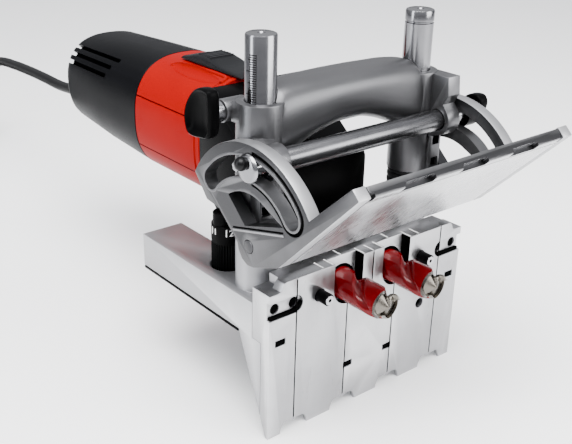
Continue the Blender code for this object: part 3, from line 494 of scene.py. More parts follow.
# angle in degrees where a change begins, then the lane and layer after it; None is the tail's own
COIL_MOVES = [(50, 0, 0), (410, 1, 0), (770, 2, 0), (1055, 2, 1), (1340, 1, 1), (1700, 0, 1), (1985, 0, 2),
              (2270, 1, 2), (2630, 2, 2), (2915, 2, 3), (3200, 1, 3), (3560, 0, 3), (3845, 0, 4),
              (4130, 1, 4), (4490, 2, 4), (4775, 2, None), (4990, None, None)]
COIL_STEP = 75
COIL_LAST = 5070


def smooth_route(points, spacing):
    """Catmull-Rom samples about one spacing apart."""
    pts = [Vector(p) for p in points]
    pts = [2 * pts[0] - pts[1]] + pts + [2 * pts[-1] - pts[-2]]
    out = []
    for p0, p1, p2, p3 in zip(pts, pts[1:], pts[2:], pts[3:]):
        steps = max(1, round((p2 - p1).length / spacing))
        for i in range(steps):
            out.append(between(p0, p1, p2, p3, i / steps))
    return out + [pts[-2]]


def coil_point(angle, radius, height, shift=0.0):
    """A point at a bearing in degrees about the coil's middle, or about a middle set back by a shift."""
    t = radians(angle)
    return Vector((COIL_CENTRE[0] + radius * cos(t), COIL_CENTRE[1] + shift + radius * sin(t), height))


def coil_line():
    """The cord's middle line from the coil's first turn to the plug."""
    start = Vector(CORD_ROUTE[-1])
    radius = hypot(start.x - COIL_CENTRE[0], start.y - COIL_CENTRE[1])
    height = start.z
    out = []
    moves = [(begin, TAIL_R if lane is None else LANES[lane], TAIL_Z if layer is None else LAYERS[layer])
             for begin, lane, layer in COIL_MOVES]
    for angle in range(56, COIL_LAST + 1, 6):
        r, z = radius, height
        for begin, lane_r, layer_z in moves:
            t = min(1.0, max(0.0, (angle - begin) / COIL_STEP))
            t = 2 * t * t if t < 0.5 else 1 - 2 * (1 - t) ** 2
            r += (lane_r - r) * t
            z += (layer_z - z) * t
        out.append(coil_point(angle, r, z))
    out += [coil_point(angle, TAIL_R, TAIL_Z) for angle in range(36, 91, 6)]
    return out + [coil_point(angle, BEND_R, TAIL_Z, BEND_SHIFT) for angle in range(100, 181, 8)]


def curve_tube(name, points, radius, look, resolution=4):
    """A round bar that follows a line of points, kept as a curve."""
    curve = bpy.data.curves.new(name, "CURVE")
    curve.dimensions = "3D"
    curve.bevel_depth = radius
    curve.bevel_resolution = resolution
    curve.use_fill_caps = True
    spline = curve.splines.new("POLY")
    spline.points.add(len(points) - 1)
    for spot, point in zip(spline.points, points):
        spot.co = (*point, 1.0)
    spline.use_smooth = True
    curve.materials.append(look)
    thing = bpy.data.objects.new(name, curve)
    bpy.context.scene.collection.objects.link(thing)
    return thing


cord_line = smooth_route(CORD_ROUTE, 0.006) + coil_line()
mains_cord = curve_tube("mains_cord", cord_line, CORD_R, LOOKS["cord_sheath"])
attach(mains_cord, "motor_unit")
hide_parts("cord_tube", "cord_coil", "cord_tail")


TIE_BEARING = 225


def make_tie():
    """A strap round the coil's bundle, and its tucked end."""
    inner, outer, low, high, half = 0.0287, 0.0515, 0.0003, 0.0366, 0.0045
    rings = []
    for grow in (0.0, 0.0003):
        path = []
        for cr, cz, first in ((outer - 0.005, high - 0.005, 0), (inner + 0.005, high - 0.005, 90),
                              (inner + 0.005, low + 0.005, 180), (outer - 0.005, low + 0.005, 270)):
            path += [(cr + (0.005 + grow) * cos(radians(a)), cz + (0.005 + grow) * sin(radians(a)))
                     for a in range(first, first + 91, 15)]
        rings.append(path)
    loops = []
    for path, across in ((rings[0], -half), (rings[1], -half), (rings[1], half), (rings[0], half)):
        turn = radians(TIE_BEARING)
        loops.append([(COIL_CENTRE[0] + r * cos(turn) - across * sin(turn),
                       COIL_CENTRE[1] + r * sin(turn) + across * cos(turn), z) for r, z in path])
    return loft_bm(loops, loop=True)


tie = add_piece("cord_tie", make_tie(), "motor_unit", "rubber")


def make_plug():
    """Moulded mains plug with two pins and ribs along its flanks, lying on the coil."""
    x, y, base = COIL_CENTRE[0] - BEND_R, COIL_CENTRE[1] + BEND_SHIFT, 0.0363
    half = [(0.0045, 0.0010), (0.0062, 0.0060), (0.0080, 0.011), (0.0150, 0.0165), (0.0178, 0.021),
            (0.0185, 0.030), (0.0182, 0.042)]
    rings = []
    for across, behind in half:
        thick = min(0.0075, 0.0042 + across * 0.24)
        ring = superellipse(base + 0.0075, across, thick, 3.2, y - behind, 48)
        rings.append([(x + px, py, pz) for px, py, pz in ring])
    body = loft_bm(rings)
    pins = [rod_bm("Y", (x + dx, 0, base + 0.0075), 0.0024, y - 0.0610, y - 0.0400, 24, 0.0006)
            for dx in (-0.0095, 0.0095)]
    grips = [box_bm((x + side * 0.0171 - 0.0006, y - 0.0385 + 0.0032 * k, base + 0.0035),
                    (x + side * 0.0171 + 0.0006, y - 0.0370 + 0.0032 * k, base + 0.0115))
             for side in (-1, 1) for k in range(4)]
    return joined(body, *grips, *((pin, 1) for pin in pins))


plug = add_piece("mains_plug", make_plug(), "motor_unit", "black_plastic", ("plug",),
                 look=[LOOKS["black_plastic"], LOOKS["polished_steel"]], corner=40)


RELIEF_END = (0, 0.294, 0.0915)


def make_relief():
    """A tapered strain relief with moulded rings, along the cord's first direction."""
    start = Vector((0, CAP_END + GAP + 0.0010, GLAND_Z))
    axis = Vector(RELIEF_END) - Vector((0, CAP_END + GAP, GLAND_Z))
    profile = [(0, 0), (0, 0.0078), (0.0004, 0.0080), (0.0028, 0.0080), (0.0034, 0.0076), (0.0048, 0.0058)]
    for k in range(8):
        along = 0.0080 + 0.0040 * k
        radius = 0.0057 - 0.0014 * along / axis.length
        profile += [(along, radius), (along + 0.0004, radius - 0.0009), (along + 0.0014, radius - 0.0009),
                    (along + 0.0018, radius - 0.0001)]
    profile += [(axis.length - 0.0005, 0.0043), (axis.length, 0.0040), (axis.length, 0)]
    relief = lathe_bm(profile, "Z", (0, 0, 0), 40)
    aim = Vector((0, 0, 1)).rotation_difference(axis).to_matrix().to_4x4()
    relief.transform(Matrix.Translation(start) @ aim)
    return relief


add_piece("cord_relief", make_relief(), "motor_unit", "rubber", ("strain_relief",))


# ---------------------------------------------------------------- front plate
def plate_outline():
    """Front view of the plate: feet notched at one and three spindle distances, and shoulders above."""
    half = []
    for middle in (SPINDLE_X, 3 * SPINDLE_X):
        near, far = middle - 0.0085, middle + 0.0085
        half += [(near, 0), (near + 0.0004, 0.0020), (near + 0.0012, 0.0040), (near + 0.0021, 0.0050),
                 (near + 0.0032, 0.0055), (middle - 0.0014, 0.0055), (middle, 0.0040),
                 (middle + 0.0014, 0.0055), (far - 0.0032, 0.0055), (far - 0.0021, 0.0050),
                 (far - 0.0012, 0.0040), (far - 0.0004, 0.0020), (far, 0)]
    half += [(PLATE_HALF_W, 0), (PLATE_HALF_W, SHOULDER_Z), (0.0595, SHOULDER_Z),
             (0.0578, SHOULDER_Z + 0.0004), (0.0570, SHOULDER_Z + 0.0014), (0.0563, PLATE_H - 0.0014),
             (0.0556, PLATE_H - 0.0004), (0.0545, PLATE_H)]
    return half + sided(half, -1)


GROOVES = [(0.048, 0.0, SHOULDER_Z + 0.006), (0.016, 0.0, 0.0592), (0.0, 0.066, PLATE_H + 0.001)]
DASHES = ((0.0574, 0.0512), (0.0137, 0.0231))
HOLE_X = (0.0595, 0.0485)
HOLE_Z = SPINDLE_Z + 0.001
LATCH_HOLE = (0.0362, 0.0408)


def make_plate():
    """Front plate with its rear band, bit slots, pin bores, grooves and dashes; painted shade on the slot
    walls and in dark fills.
    """
    inside = PLATE_FRONT + 0.001
    band = box_bm((-PLATE_HALF_W, inside, BAND_LOW), (PLATE_HALF_W, BAND_BACK, SHOULDER_Z))
    rail = box_bm((-0.0545, inside, BAND_LOW + 0.001), (0.0545, BAND_BACK, PLATE_H))
    cuts = [prism_bm([(0.0010, -0.001), (0.0010, 0), (0.0050, 0.0096), (0.008, 0.0096), (0.008, -0.001)],
                     "X", -0.07, 0.07)]
    recess = arc(0.049, HOLE_Z, 0.0045, 270, 90, 25) + [(0.070, HOLE_Z + 0.0045), (0.070, HOLE_Z - 0.0045)]
    # dark: black fills of painted shade, namely a painted shadow along the recess's lower edge and black
    # floors in the holes, grooves and dashes; in the dashes they are also the dashes' own black paint
    dark = []
    for side, _ in SIDES:
        x = side * SPINDLE_X
        cradle = arc(x, SPINDLE_Z, SLOT_R, 180, 360, 41)
        cuts.append(prism_bm(cradle + [(x + SLOT_R, 0.09), (x - SLOT_R, 0.09)], "Y", -0.01, PLATE_BACK))
        cuts.append(rod_bm("Y", (x, 0, SPINDLE_Z), SLOT_R - 0.0001, PLATE_BACK - 0.001, 0.02, 64))
        cuts.append(rod_bm("Y", (side * PIN_X, 0, PIN_Z), 0.0033, -0.01, 0.02, 32))
        cuts.append(prism_bm(sided(recess, side), "Y", -0.01, PLATE_FRONT + 0.0022))
        # painted shadow along the recess's lower edge
        channel = sided([(0.0480, HOLE_Z - 0.0043), (0.0505, HOLE_Z - 0.0044), (0.0632, HOLE_Z - 0.0044),
                         (0.0632, HOLE_Z - 0.0030), (0.0505, HOLE_Z - 0.0030), (0.0474, HOLE_Z - 0.0020),
                         (0.0455, HOLE_Z), (0.0446, HOLE_Z)] +
                        arc(0.049, HOLE_Z, 0.0044, 190, 262, 9), side)
        dark.append(prism_bm(channel, "Y", PLATE_FRONT + 0.0006, PLATE_FRONT + 0.0021))
        for hole in HOLE_X:
            cuts.append(rod_bm("Y", (side * hole, 0, HOLE_Z), 0.0026, 0, 0.009, 32))
            dark.append(rod_bm("Y", (side * hole, 0, HOLE_Z), 0.00255, 0.0022, 0.0085, 32))
        for dash_x, dash_z in DASHES:
            low = (side * dash_x - 0.003, -0.01, dash_z - 0.0017)
            high = (side * dash_x + 0.003, 0.001, dash_z + 0.0017)
            cuts.append(box_bm(low, high))
            dark.append(box_bm((low[0] + 0.0001, PLATE_FRONT + 0.0006, low[2] + 0.0001),
                               (high[0] - 0.0001, 0.0009, high[2] - 0.0001)))
    for x, low, high in GROOVES:
        for at in sorted({x, -x}):
            edge = PLATE_FRONT - 0.0002
            root = edge + 0.0009
            vee = [(at - 0.0005, edge), (at + 0.0005, edge), (at + 0.0002, root), (at - 0.0002, root)]
            cuts.append(prism_bm(vee, "Z", low - 0.002, high))
            dark.append(box_bm((at - 0.00034, PLATE_FRONT + 0.00012, max(low, 0.0062)),
                               (at + 0.00034, PLATE_FRONT + 0.0004, min(high, PLATE_H - 0.001))))
    cuts.append(rod_bm("Y", (LATCH_HOLE[0], 0, LATCH_HOLE[1]), 0.0028, -0.01, 0.02, 32))
    dark.append(rod_bm("Y", (LATCH_HOLE[0], 0, LATCH_HOLE[1]), 0.0027, 0.0015, 0.0045, 32))
    shape = merged(prism_bm(plate_outline(), "Y", PLATE_FRONT, PLATE_BACK), [band, rail], cuts)
    # the slot's inner walls take the black look: painted shade
    for face in shape.faces:
        spot = face.calc_center_median()
        beside = abs(abs(spot.x) - SPINDLE_X)
        inner = beside < SLOT_R + 0.0003 and spot.z > SPINDLE_Z - SLOT_R - 0.0002 and abs(face.normal.y) < 0.5
        face.material_index = int(inner and abs(face.normal.z) < 0.99)
    add_piece("face_plate", shape, "base", "plate_alloy", ("front_plate",),
              look=[LOOKS["plate_alloy"], PAINTED_SHADE_BLACK], bevel=0.00018)
    add_piece("plate_painted_shade", joined(*dark), "base", "plate_alloy", look=PAINTED_SHADE_BLACK)
    # white strips on the band's top: scale ticks at 0, ±16 and ±32 mm, and painted highlights at ±6 and ±26
    # mm that stand for glints on slot edges
    marks = [box_bm((x - 0.00028, start, PLATE_H - 0.0001), (x + 0.00028, end, PLATE_H + 0.00004))
             for places, start, end in (((-0.032, -0.026, -0.006, 0.0, 0.006, 0.026, 0.032), -0.0003, 0.0066),
                                        ((-SPINDLE_X, SPINDLE_X), 0.0056, 0.0112)) for x in places]
    add_piece("plate_ticks_and_painted_glints", joined(*marks), "base", "plate_alloy", look=WHITE_PRINT_AND_GLINT)


make_plate()


# ---------------------------------------------------------------- arms, columns, rods
SPRING_R = 0.0050
SPRING_WIRE_R = 0.0006
SPRING_START = 0.0165
SPRING_LONG = 0.0305

for side, word in SIDES:
    add_piece("side_arm_" + word, cad_bm("arm_" + word), "base", "cast_alloy", ("arm_" + word,),
              look=ARM_ALLOY_AND_RIM_HIGHLIGHT, bevel=0.00025)
    column = (side * COLUMN_X, COLUMN_Y, 0)
    profile = [(0.0643, 0), (0.0643, COLUMN_R - 0.0008), (0.0650, COLUMN_R), (COLUMN_TOP - 0.0009, COLUMN_R),
               (COLUMN_TOP - 0.0003, COLUMN_R - 0.0003), (COLUMN_TOP, COLUMN_R - 0.0010),
               (COLUMN_TOP, 0.0019), (COLUMN_TOP - 0.0012, 0.0009), (COLUMN_TOP - 0.0030, 0)]
    if side > 0:
        profile[3:3] = [(0.1805, COLUMN_R), (0.1808, COLUMN_R - 0.0005), (0.1814, COLUMN_R - 0.0005),
                        (0.1817, COLUMN_R)]
    add_piece("guide_column_" + word, lathe_bm(profile, "Z", column, 96), "base", "polished_steel",
              ("column_" + word,), corner=28)
    rod = (side * ROD_X, 0, ROD_Z)
    add_piece("plunge_rod_" + word, rod_bm("Y", rod, 0.004, 0.0121, 0.1042, 40, 0.0004), "base",
              "polished_steel", ("guide_rod_" + word,))
    turns, steps = 5, 160
    helix = [(rod[0] + SPRING_R * cos(tau * turns * i / steps), SPRING_START + SPRING_LONG * i / steps,
              ROD_Z + SPRING_R * sin(tau * turns * i / steps)) for i in range(steps + 1)]
    spring = curve_tube("plunge_spring_" + word, helix, SPRING_WIRE_R, LOOKS["dark_steel"], 2)
    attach(spring, "base")
    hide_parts("return_spring_" + word)
    wiper = [(0.0923, 0.0083), (0.0923, 0.0105)]
    for k in range(4):
        low = 0.0932 + 0.0032 * k
        wiper += [(low, 0.0105), (low + 0.0005, 0.0097), (low + 0.0014, 0.0097), (low + 0.0019, 0.0105)]
    wiper += [(0.1057, 0.0105), (0.1057, 0.0083)]
    add_piece("column_wiper_" + word, lathe_bm(wiper, "Z", column, 56), "base", "rubber",
              ("wiper_ring_" + word,))


def arc_strip(centre, radius, first, last, low, high, thick=0.00006):
    """A thin curved mark on an upright round bar, between two bearings in degrees."""
    steps = max(2, ceil((last - first) / 6))
    bm = bmesh.new()
    rows = []
    for i in range(steps + 1):
        t = radians(first + (last - first) * i / steps)
        rows.append([bm.verts.new((centre[0] + r * cos(t), centre[1] + r * sin(t), z))
                     for r, z in ((radius - thick, low), (radius + thick, low), (radius + thick, high),
                                  (radius - thick, high))])
    for one, two in zip(rows, rows[1:]):
        for k in range(4):
            bm.faces.new((one[k], one[(k + 1) % 4], two[(k + 1) % 4], two[k]))
    bm.faces.new(rows[0])
    bm.faces.new(rows[-1])
    bmesh.ops.recalc_face_normals(bm, faces=bm.faces)
    return bm


SCALE_LEFT, SCALE_RIGHT = 190, 216       # bearings of the scale's side lines
SCALE_LOW, SCALE_MARKS = 0.1215, 58
left_column = (-COLUMN_X, COLUMN_Y)
scale = []
for mm in range(SCALE_MARKS):
    z = SCALE_LOW + 0.001 * mm
    first = 172 if mm % 10 == 0 else 181 if mm % 5 == 0 else SCALE_LEFT
    scale.append(arc_strip(left_column, COLUMN_R, first, SCALE_RIGHT, z - 0.00022, z + 0.00022))
for bearing in (SCALE_LEFT, SCALE_RIGHT):
    scale.append(arc_strip(left_column, COLUMN_R, bearing - 0.7, bearing + 0.7, 0.1210, 0.1790))
add_piece("column_scale", joined(*scale), "base", "polished_steel", look=DARK_PRINT_AND_SHADE)

add_piece("bottom_cover", cad_bm("base_cover"), "base", "black_plastic", ("base_cover",), bevel=0.0004)


# ---------------------------------------------------------------- locating pins and turret
for side, word in SIDES:
    centre = (side * PIN_X, 0, PIN_Z)
    body = lathe_bm([(-0.0076, 0.0016), (-0.0076, 0.0024), (-0.0071, 0.0030), (0.0150, 0.0030),
                     (0.0150, 0.0016)], "Y", centre, 40)
    face = lathe_bm([(-0.0078, 0.0009), (-0.0078, 0.0023), (-0.0074, 0.0024), (-0.0070, 0.0016),
                     (-0.0070, 0.0009)], "Y", centre, 40)
    # the black disc at the bottom of the pin's end bore is painted shade
    core = lathe_bm([(-0.0070, 0), (-0.0070, 0.0016), (-0.0060, 0.0016), (-0.0060, 0)], "Y", centre, 32)
    add_piece("dowel_pin_" + word, joined(body, (face, 1), (core, 2)), "pin_" + word, "dark_steel",
              ("locating_pin_" + word,), look=[LOOKS["black_plastic"], LOOKS["polished_steel"], PAINTED_SHADE_BLACK])


def make_turret():
    """Ribbed depth turret with its two stops and a spigot below."""
    steps = 144
    ribs = 36
    low, high = 0.0658, 0.0818
    rings = []
    levels = [(0.0652, 0.0070, 0), (0.0656, 0.0075, 0), (low, 0.0076, 0), (low + 0.0005, TURRET_R, 1),
              (high - 0.0005, TURRET_R, 1), (high, 0.0078, 0), (high + 0.0004, 0.0078, 0),
              (high + 0.0008, TURRET_R, 0), (0.0908, TURRET_R, 0), (0.0912, 0.0076, 0)]
    for z, radius, ribbed in levels:
        ring = []
        for k in range(steps):
            dip = 0.0006 * ribbed * (0.5 - 0.5 * cos(tau * ribs * k / steps))
            t = tau * k / steps
            ring.append((TURRET[0] + (radius - dip) * cos(t), TURRET[1] + (radius - dip) * sin(t), z))
        rings.append(ring)
    drum = loft_bm(rings)
    spigot = rod_bm("Z", (*TURRET, 0), 0.0030, 0.0620, 0.0655, 32)
    sx, sy = TURRET[0] - 0.0034, TURRET[1]
    stop = lathe_bm([(0.0904, 0), (0.0904, 0.0044), (0.0972, 0.0044), (0.0976, 0.0040), (0.0976, 0.0026),
                     (0.0960, 0.0024), (0.0960, 0)], "Z", (sx, sy, 0), 40)
    second = lathe_bm([(0.0904, 0), (0.0904, 0.0026), (0.0926, 0.0026), (0.0929, 0.0023), (0.0929, 0.0014),
                       (0.0921, 0.0013), (0.0921, 0)], "Z", (TURRET[0] + 0.0040, TURRET[1] + 0.0014, 0), 32)
    add_piece("depth_turret", joined(drum, spigot, stop, second), "turret", "black_plastic",
              ("turret_stop",), corner=40)


make_turret()


def digit_bm(text, size, bearing, base_z):
    """A numeral wrapped on the turret's drum, its middle at a bearing in degrees."""
    curve = bpy.data.curves.new("numeral", "FONT")
    curve.body = text
    curve.size = size
    curve.align_x = "CENTER"
    thing = bpy.data.objects.new("numeral", curve)
    bpy.context.scene.collection.objects.link(thing)
    bpy.context.view_layer.update()
    mesh = bpy.data.meshes.new_from_object(thing.evaluated_get(bpy.context.evaluated_depsgraph_get()))
    bm = bmesh.new()
    bm.from_mesh(mesh)
    bpy.data.objects.remove(thing)
    bmesh.ops.remove_doubles(bm, verts=bm.verts, dist=0.000005)
    grown = bmesh.ops.extrude_face_region(bm, geom=list(bm.faces))
    raised = {item for item in grown["geom"] if isinstance(item, bmesh.types.BMVert)}
    for vert in bm.verts:
        reach = TURRET_R + (0.00008 if vert in raised else -0.00006)
        t = radians(bearing) + vert.co.x / TURRET_R
        vert.co = (TURRET[0] + reach * cos(t), TURRET[1] + reach * sin(t), base_z + vert.co.y)
    bmesh.ops.recalc_face_normals(bm, faces=bm.faces)
    return bm


numerals = []
for k in range(6):
    line = 170 + 60 * k                  # bearing of the line beside the numeral
    numerals.append(arc_strip(TURRET, TURRET_R, line - 1.8, line + 1.8, 0.0864, 0.0901, 0.00008))
    numerals.append(digit_bm(str(k + 1), 0.0046, line + 17, 0.0867))
add_piece("turret_numerals", joined(*numerals), "turret", "black_plastic", look=WHITE_PRINT_AND_GLINT)


# ---------------------------------------------------------------- height carriage
def rounded(bm, width, segments=2):
    """The shape with every edge sharper than 30 degrees rounded."""
    sharp = [e for e in bm.edges if e.is_manifold and e.calc_face_angle(0) > radians(30)]
    bmesh.ops.bevel(bm, geom=sharp, offset=width, segments=segments, affect="EDGES", profile=0.5)
    return bm


# distance from the middle, lower edge, upper edge, middle's Y and half depth
ARCH = [(0.0495, 0.1300, 0.1565, 0.0265, 0.0090), (0.0430, 0.1285, 0.1628, 0.0280, 0.0122),
        (0.0320, 0.1330, 0.1645, 0.0290, 0.0135), (0.0200, 0.1375, 0.1648, 0.0292, 0.0137),
        (0.0070, 0.1405, 0.1650, 0.0292, 0.0137)]


def arch_station(x):
    """The arch's section at a distance from the middle, read smoothly from the ARCH list."""
    knots = ARCH[::-1]
    x = min(max(abs(x), 0.0), knots[-1][0])
    if x <= knots[0][0]:
        return knots[0][1:]
    for i in range(len(knots) - 1):
        if x <= knots[i + 1][0]:
            t = (x - knots[i][0]) / (knots[i + 1][0] - knots[i][0])
            before, after = knots[max(i - 1, 0)], knots[min(i + 2, len(knots) - 1)]
            return [between(*four, t) for four in zip(before[1:], knots[i][1:], knots[i + 1][1:], after[1:])]
    return knots[-1][1:]


def flange_outline(side):
    """Side view of the cheek; the right one also has a block above the tilt bar's lug."""
    hub = arc(PIVOT_Y, PIVOT_Z, 0.0075, 120, 320, 31)
    if side < 0:
        top = [(0.030, 0.1440), (0.0170, 0.1438)] + arc(PIVOT_Y, TILT_BAR_Z, 0.0080, 72, 235, 29)
    else:
        top = [(0.030, BOSS_TOP - 0.0005), (0.0055, BOSS_TOP - 0.0005), (0.0045, 0.1480), (0.0075, 0.1430)]
        top += arc(PIVOT_Y, TILT_BAR_Z, 0.0080, 140, 235, 19)
    return (top + [(0.0140, 0.1250), (0.0140, 0.1060)] + hub + [(0.0190, 0.1055), (0.030, 0.1065)])


POCKET_X = 0.0548
POCKET_Z = (0.1225, 0.1106)


def make_bridge():
    """Arch, column bosses, cheeks with their pockets, and the lever's bracket, as one casting, with painted
    shade at the pockets' floors.
    """
    rings = []
    for i in range(61):
        x = -0.0495 + 0.0990 * i / 60
        low, high, middle, depth = arch_station(x)
        ring = superellipse((low + high) / 2, depth, (high - low) / 2, 2.6, x, 64)
        rings.append([(px_y, middle + across, z) for across, px_y, z in ring])
    adds = [rounded(box_bm((-0.0600, 0.0230, 0.1466), (-0.0450, 0.0440, BOSS_TOP - 0.0008)), 0.0042, 6),
            rod_bm("X", (0, LEVER_Y, LEVER_Z), 0.0053, -0.0620, -0.0500, 56, 0.0005)]
    cuts = [rod_bm("X", (0, LEVER_Y, LEVER_Z), 0.0033, -0.070, -0.052, 32)]
    pockets = []
    for side, _ in SIDES:
        column = (side * COLUMN_X, COLUMN_Y, 0)
        adds.append(rod_bm("Z", column, BOSS_R, BOSS_LOW, BOSS_TOP, 72, 0.0006))
        adds.append(rounded(prism_bm(flange_outline(side), "X", *span(side, 0.0500, 0.0585)), 0.0003, 2))
        cuts.append(rod_bm("Z", column, COLUMN_R + GAP, 0.09, 0.18, 56))
        x = side * POCKET_X
        for z in POCKET_Z:
            cuts.append(box_bm((x - 0.0025, 0.010, z - 0.0025), (x + 0.0025, 0.0180, z + 0.0025)))
            # black squares at the pockets' floors: painted shade
            pockets.append(box_bm((x - 0.0024, 0.0158, z - 0.0024), (x + 0.0024, 0.0178, z + 0.0024)))
        cuts.append(rod_bm("X", (0, PIVOT_Y, PIVOT_Z), 0.0033, *span(side, 0.0492, 0.070), 32))
        cuts.append(rod_bm("X", (0, PIVOT_Y, TILT_BAR_Z), 0.0056, *span(side, 0.034, 0.070), 48))
    shape = merged(loft_bm(rings), adds, cuts)
    add_piece("arch_bridge", shape, "carriage", "cast_alloy", ("bridge",), look=BRIDGE_ALLOY, corner=30)
    add_piece("bridge_pocket_painted_shade", joined(*pockets), "carriage", "cast_alloy", look=PAINTED_SHADE_BLACK)


make_bridge()

bar = (0, PIVOT_Y, TILT_BAR_Z)
add_piece("cross_bar", rod_bm("X", bar, 0.0053, -0.0597, 0.0597, 72, 0.0005), "carriage", "polished_steel",
          ("tilt_bar",), look=BAR_ALLOY)
for side, word in SIDES:
    hinge = rod_bm("X", (0, PIVOT_Y, PIVOT_Z), 0.0030, *span(side, 0.0505, 0.0671), 40, 0.0004)
    add_piece("hinge_pin_" + word, hinge, "carriage", "polished_steel", ("pivot_pin_" + word,),
              look=LOOKS["cast_alloy"])


def make_bolt():
    """Washer, dark domed nut, small hexagon and shank of the bolt that clamps the fence's tilt."""
    washer = lathe_bm([(-0.0671, 0), (-0.0671, 0.0064), (-0.0673, 0.0066), (-0.0684, 0.0062),
                       (-0.0690, 0.0054), (-0.0691, 0)], "X", bar, 64)
    knob_at = (0, PIVOT_Y + 0.0008, TILT_BAR_Z + 0.0026)
    knob = [(-0.0686, 0), (-0.0686, 0.0026)] + [(-0.0706 - 0.0031 * sin(radians(a)), 0.0031 * cos(radians(a)))
                                              for a in range(-20, 81, 10)] + [(-0.0737, 0)]
    hexagon = rounded(prism_bm(arc(PIVOT_Y + 0.0048, TILT_BAR_Z + 0.0002, 0.0024, 12, 312, 6), "X",
                               -0.0706, -0.0671), 0.0002, 2)
    shank = rod_bm("X", bar, 0.0042, -0.0673, -0.0600, 40)
    return joined(washer, hexagon, shank, (lathe_bm(knob, "X", knob_at, 48), 1))


add_piece("clamp_bolt_left", make_bolt(), "carriage", "polished_steel", ("tilt_bolt_left",),
          look=[LOOKS["polished_steel"], LOOKS["dark_steel"]], corner=40)
add_piece("clamp_bolt_right", rod_bm("X", bar, 0.0042, 0.0600, 0.0700, 48, 0.0004), "carriage",
          "polished_steel", ("tilt_bolt_right",))


# ---------------------------------------------------------------- levers
def smooth_closed(points):
    """A closed smooth outline through the given corners, six points to a corner."""
    out = []
    n = len(points)
    for i in range(n):
        four = [Vector(points[(i + k) % n]) for k in (-1, 0, 1, 2)]
        out += [tuple(between(*four, j / 6)) for j in range(6)]
    return out


def paddle_bm(outline, levels):
    """Rings of a smooth outline shrunk about its middle: levels give each ring's X and share of full size."""
    smooth = smooth_closed(outline)
    my = sum(y for y, _ in smooth) / len(smooth)
    mz = sum(z for _, z in smooth) / len(smooth)
    return loft_bm([[(x, my + (y - my) * s, mz + (z - mz) * s) for y, z in smooth] for x, s in levels])


blade = [(0.0290, 0.1455), (0.0360, 0.1425), (0.0440, 0.1420), (0.0470, 0.1450), (0.0475, 0.1520),
         (0.0440, 0.1590), (0.0385, 0.1640), (0.0315, 0.1650), (0.0285, 0.1620)]
dished = [(-0.0690, 0.86), (-0.0691, 0.93), (-0.0698, 0.98), (-0.0712, 1.0), (-0.0734, 1.0), (-0.0745, 0.98),
          (-0.0750, 0.93), (-0.0748, 0.88), (-0.0738, 0.80), (-0.0728, 0.60), (-0.0724, 0.30)]
hub = rod_bm("X", (0, LEVER_Y, LEVER_Z), 0.0062, -0.0715, -0.0671, 48, 0.0004)
add_piece("height_paddle", joined(paddle_bm(blade, dished), hub), "height_clamp", "black_plastic",
          ("height_lever",), corner=50)
stud = [(-0.0668, 0), (-0.0668, 0.0045), (-0.0666, 0.0047), (-0.0627, 0.0047), (-0.0624, 0.0044),
        (-0.0624, 0.0030), (-0.0525, 0.0030), (-0.0525, 0)]
add_piece("height_stud", lathe_bm(stud, "X", (0, LEVER_Y, LEVER_Z), 48), "height_clamp", "polished_steel",
          ("height_clamp_stud",))
grip = [(0.0155, 0.1390), (0.0120, 0.1425), (0.0085, 0.1450), (0.0030, 0.1455), (0.0005, 0.1425),
        (0.0010, 0.1385), (0.0040, 0.1340), (0.0090, 0.1300)]
round_grip = [(0.0702, 0.84), (0.0703, 0.92), (0.0708, 0.98), (0.0716, 1.0), (0.0750, 1.0), (0.0759, 0.97),
              (0.0764, 0.90), (0.0765, 0.78)]
tilt_hub = ring_bm("X", bar, 0.0045, 0.0068, 0.0673, 0.0750, 48)
add_piece("tilt_grip", joined(paddle_bm(grip, round_grip), tilt_hub), "tilt_clamp", "black_plastic",
          ("tilt_lever",), corner=50)


# ---------------------------------------------------------------- fence
D = sqrt(0.5)
# fence coordinates are across, along the contact face from the pivot, and out through that face
FENCE_FRAME = Matrix(((1, 0, 0, 0), (0, -D, -D, PIVOT_Y), (0, D, -D, PIVOT_Z), (0, 0, 0, 1)))


def fence_point(along, out):
    """Side-view place of a point given along the contact face and out through it."""
    return (PIVOT_Y - D * along - D * out, PIVOT_Z + D * along - D * out)


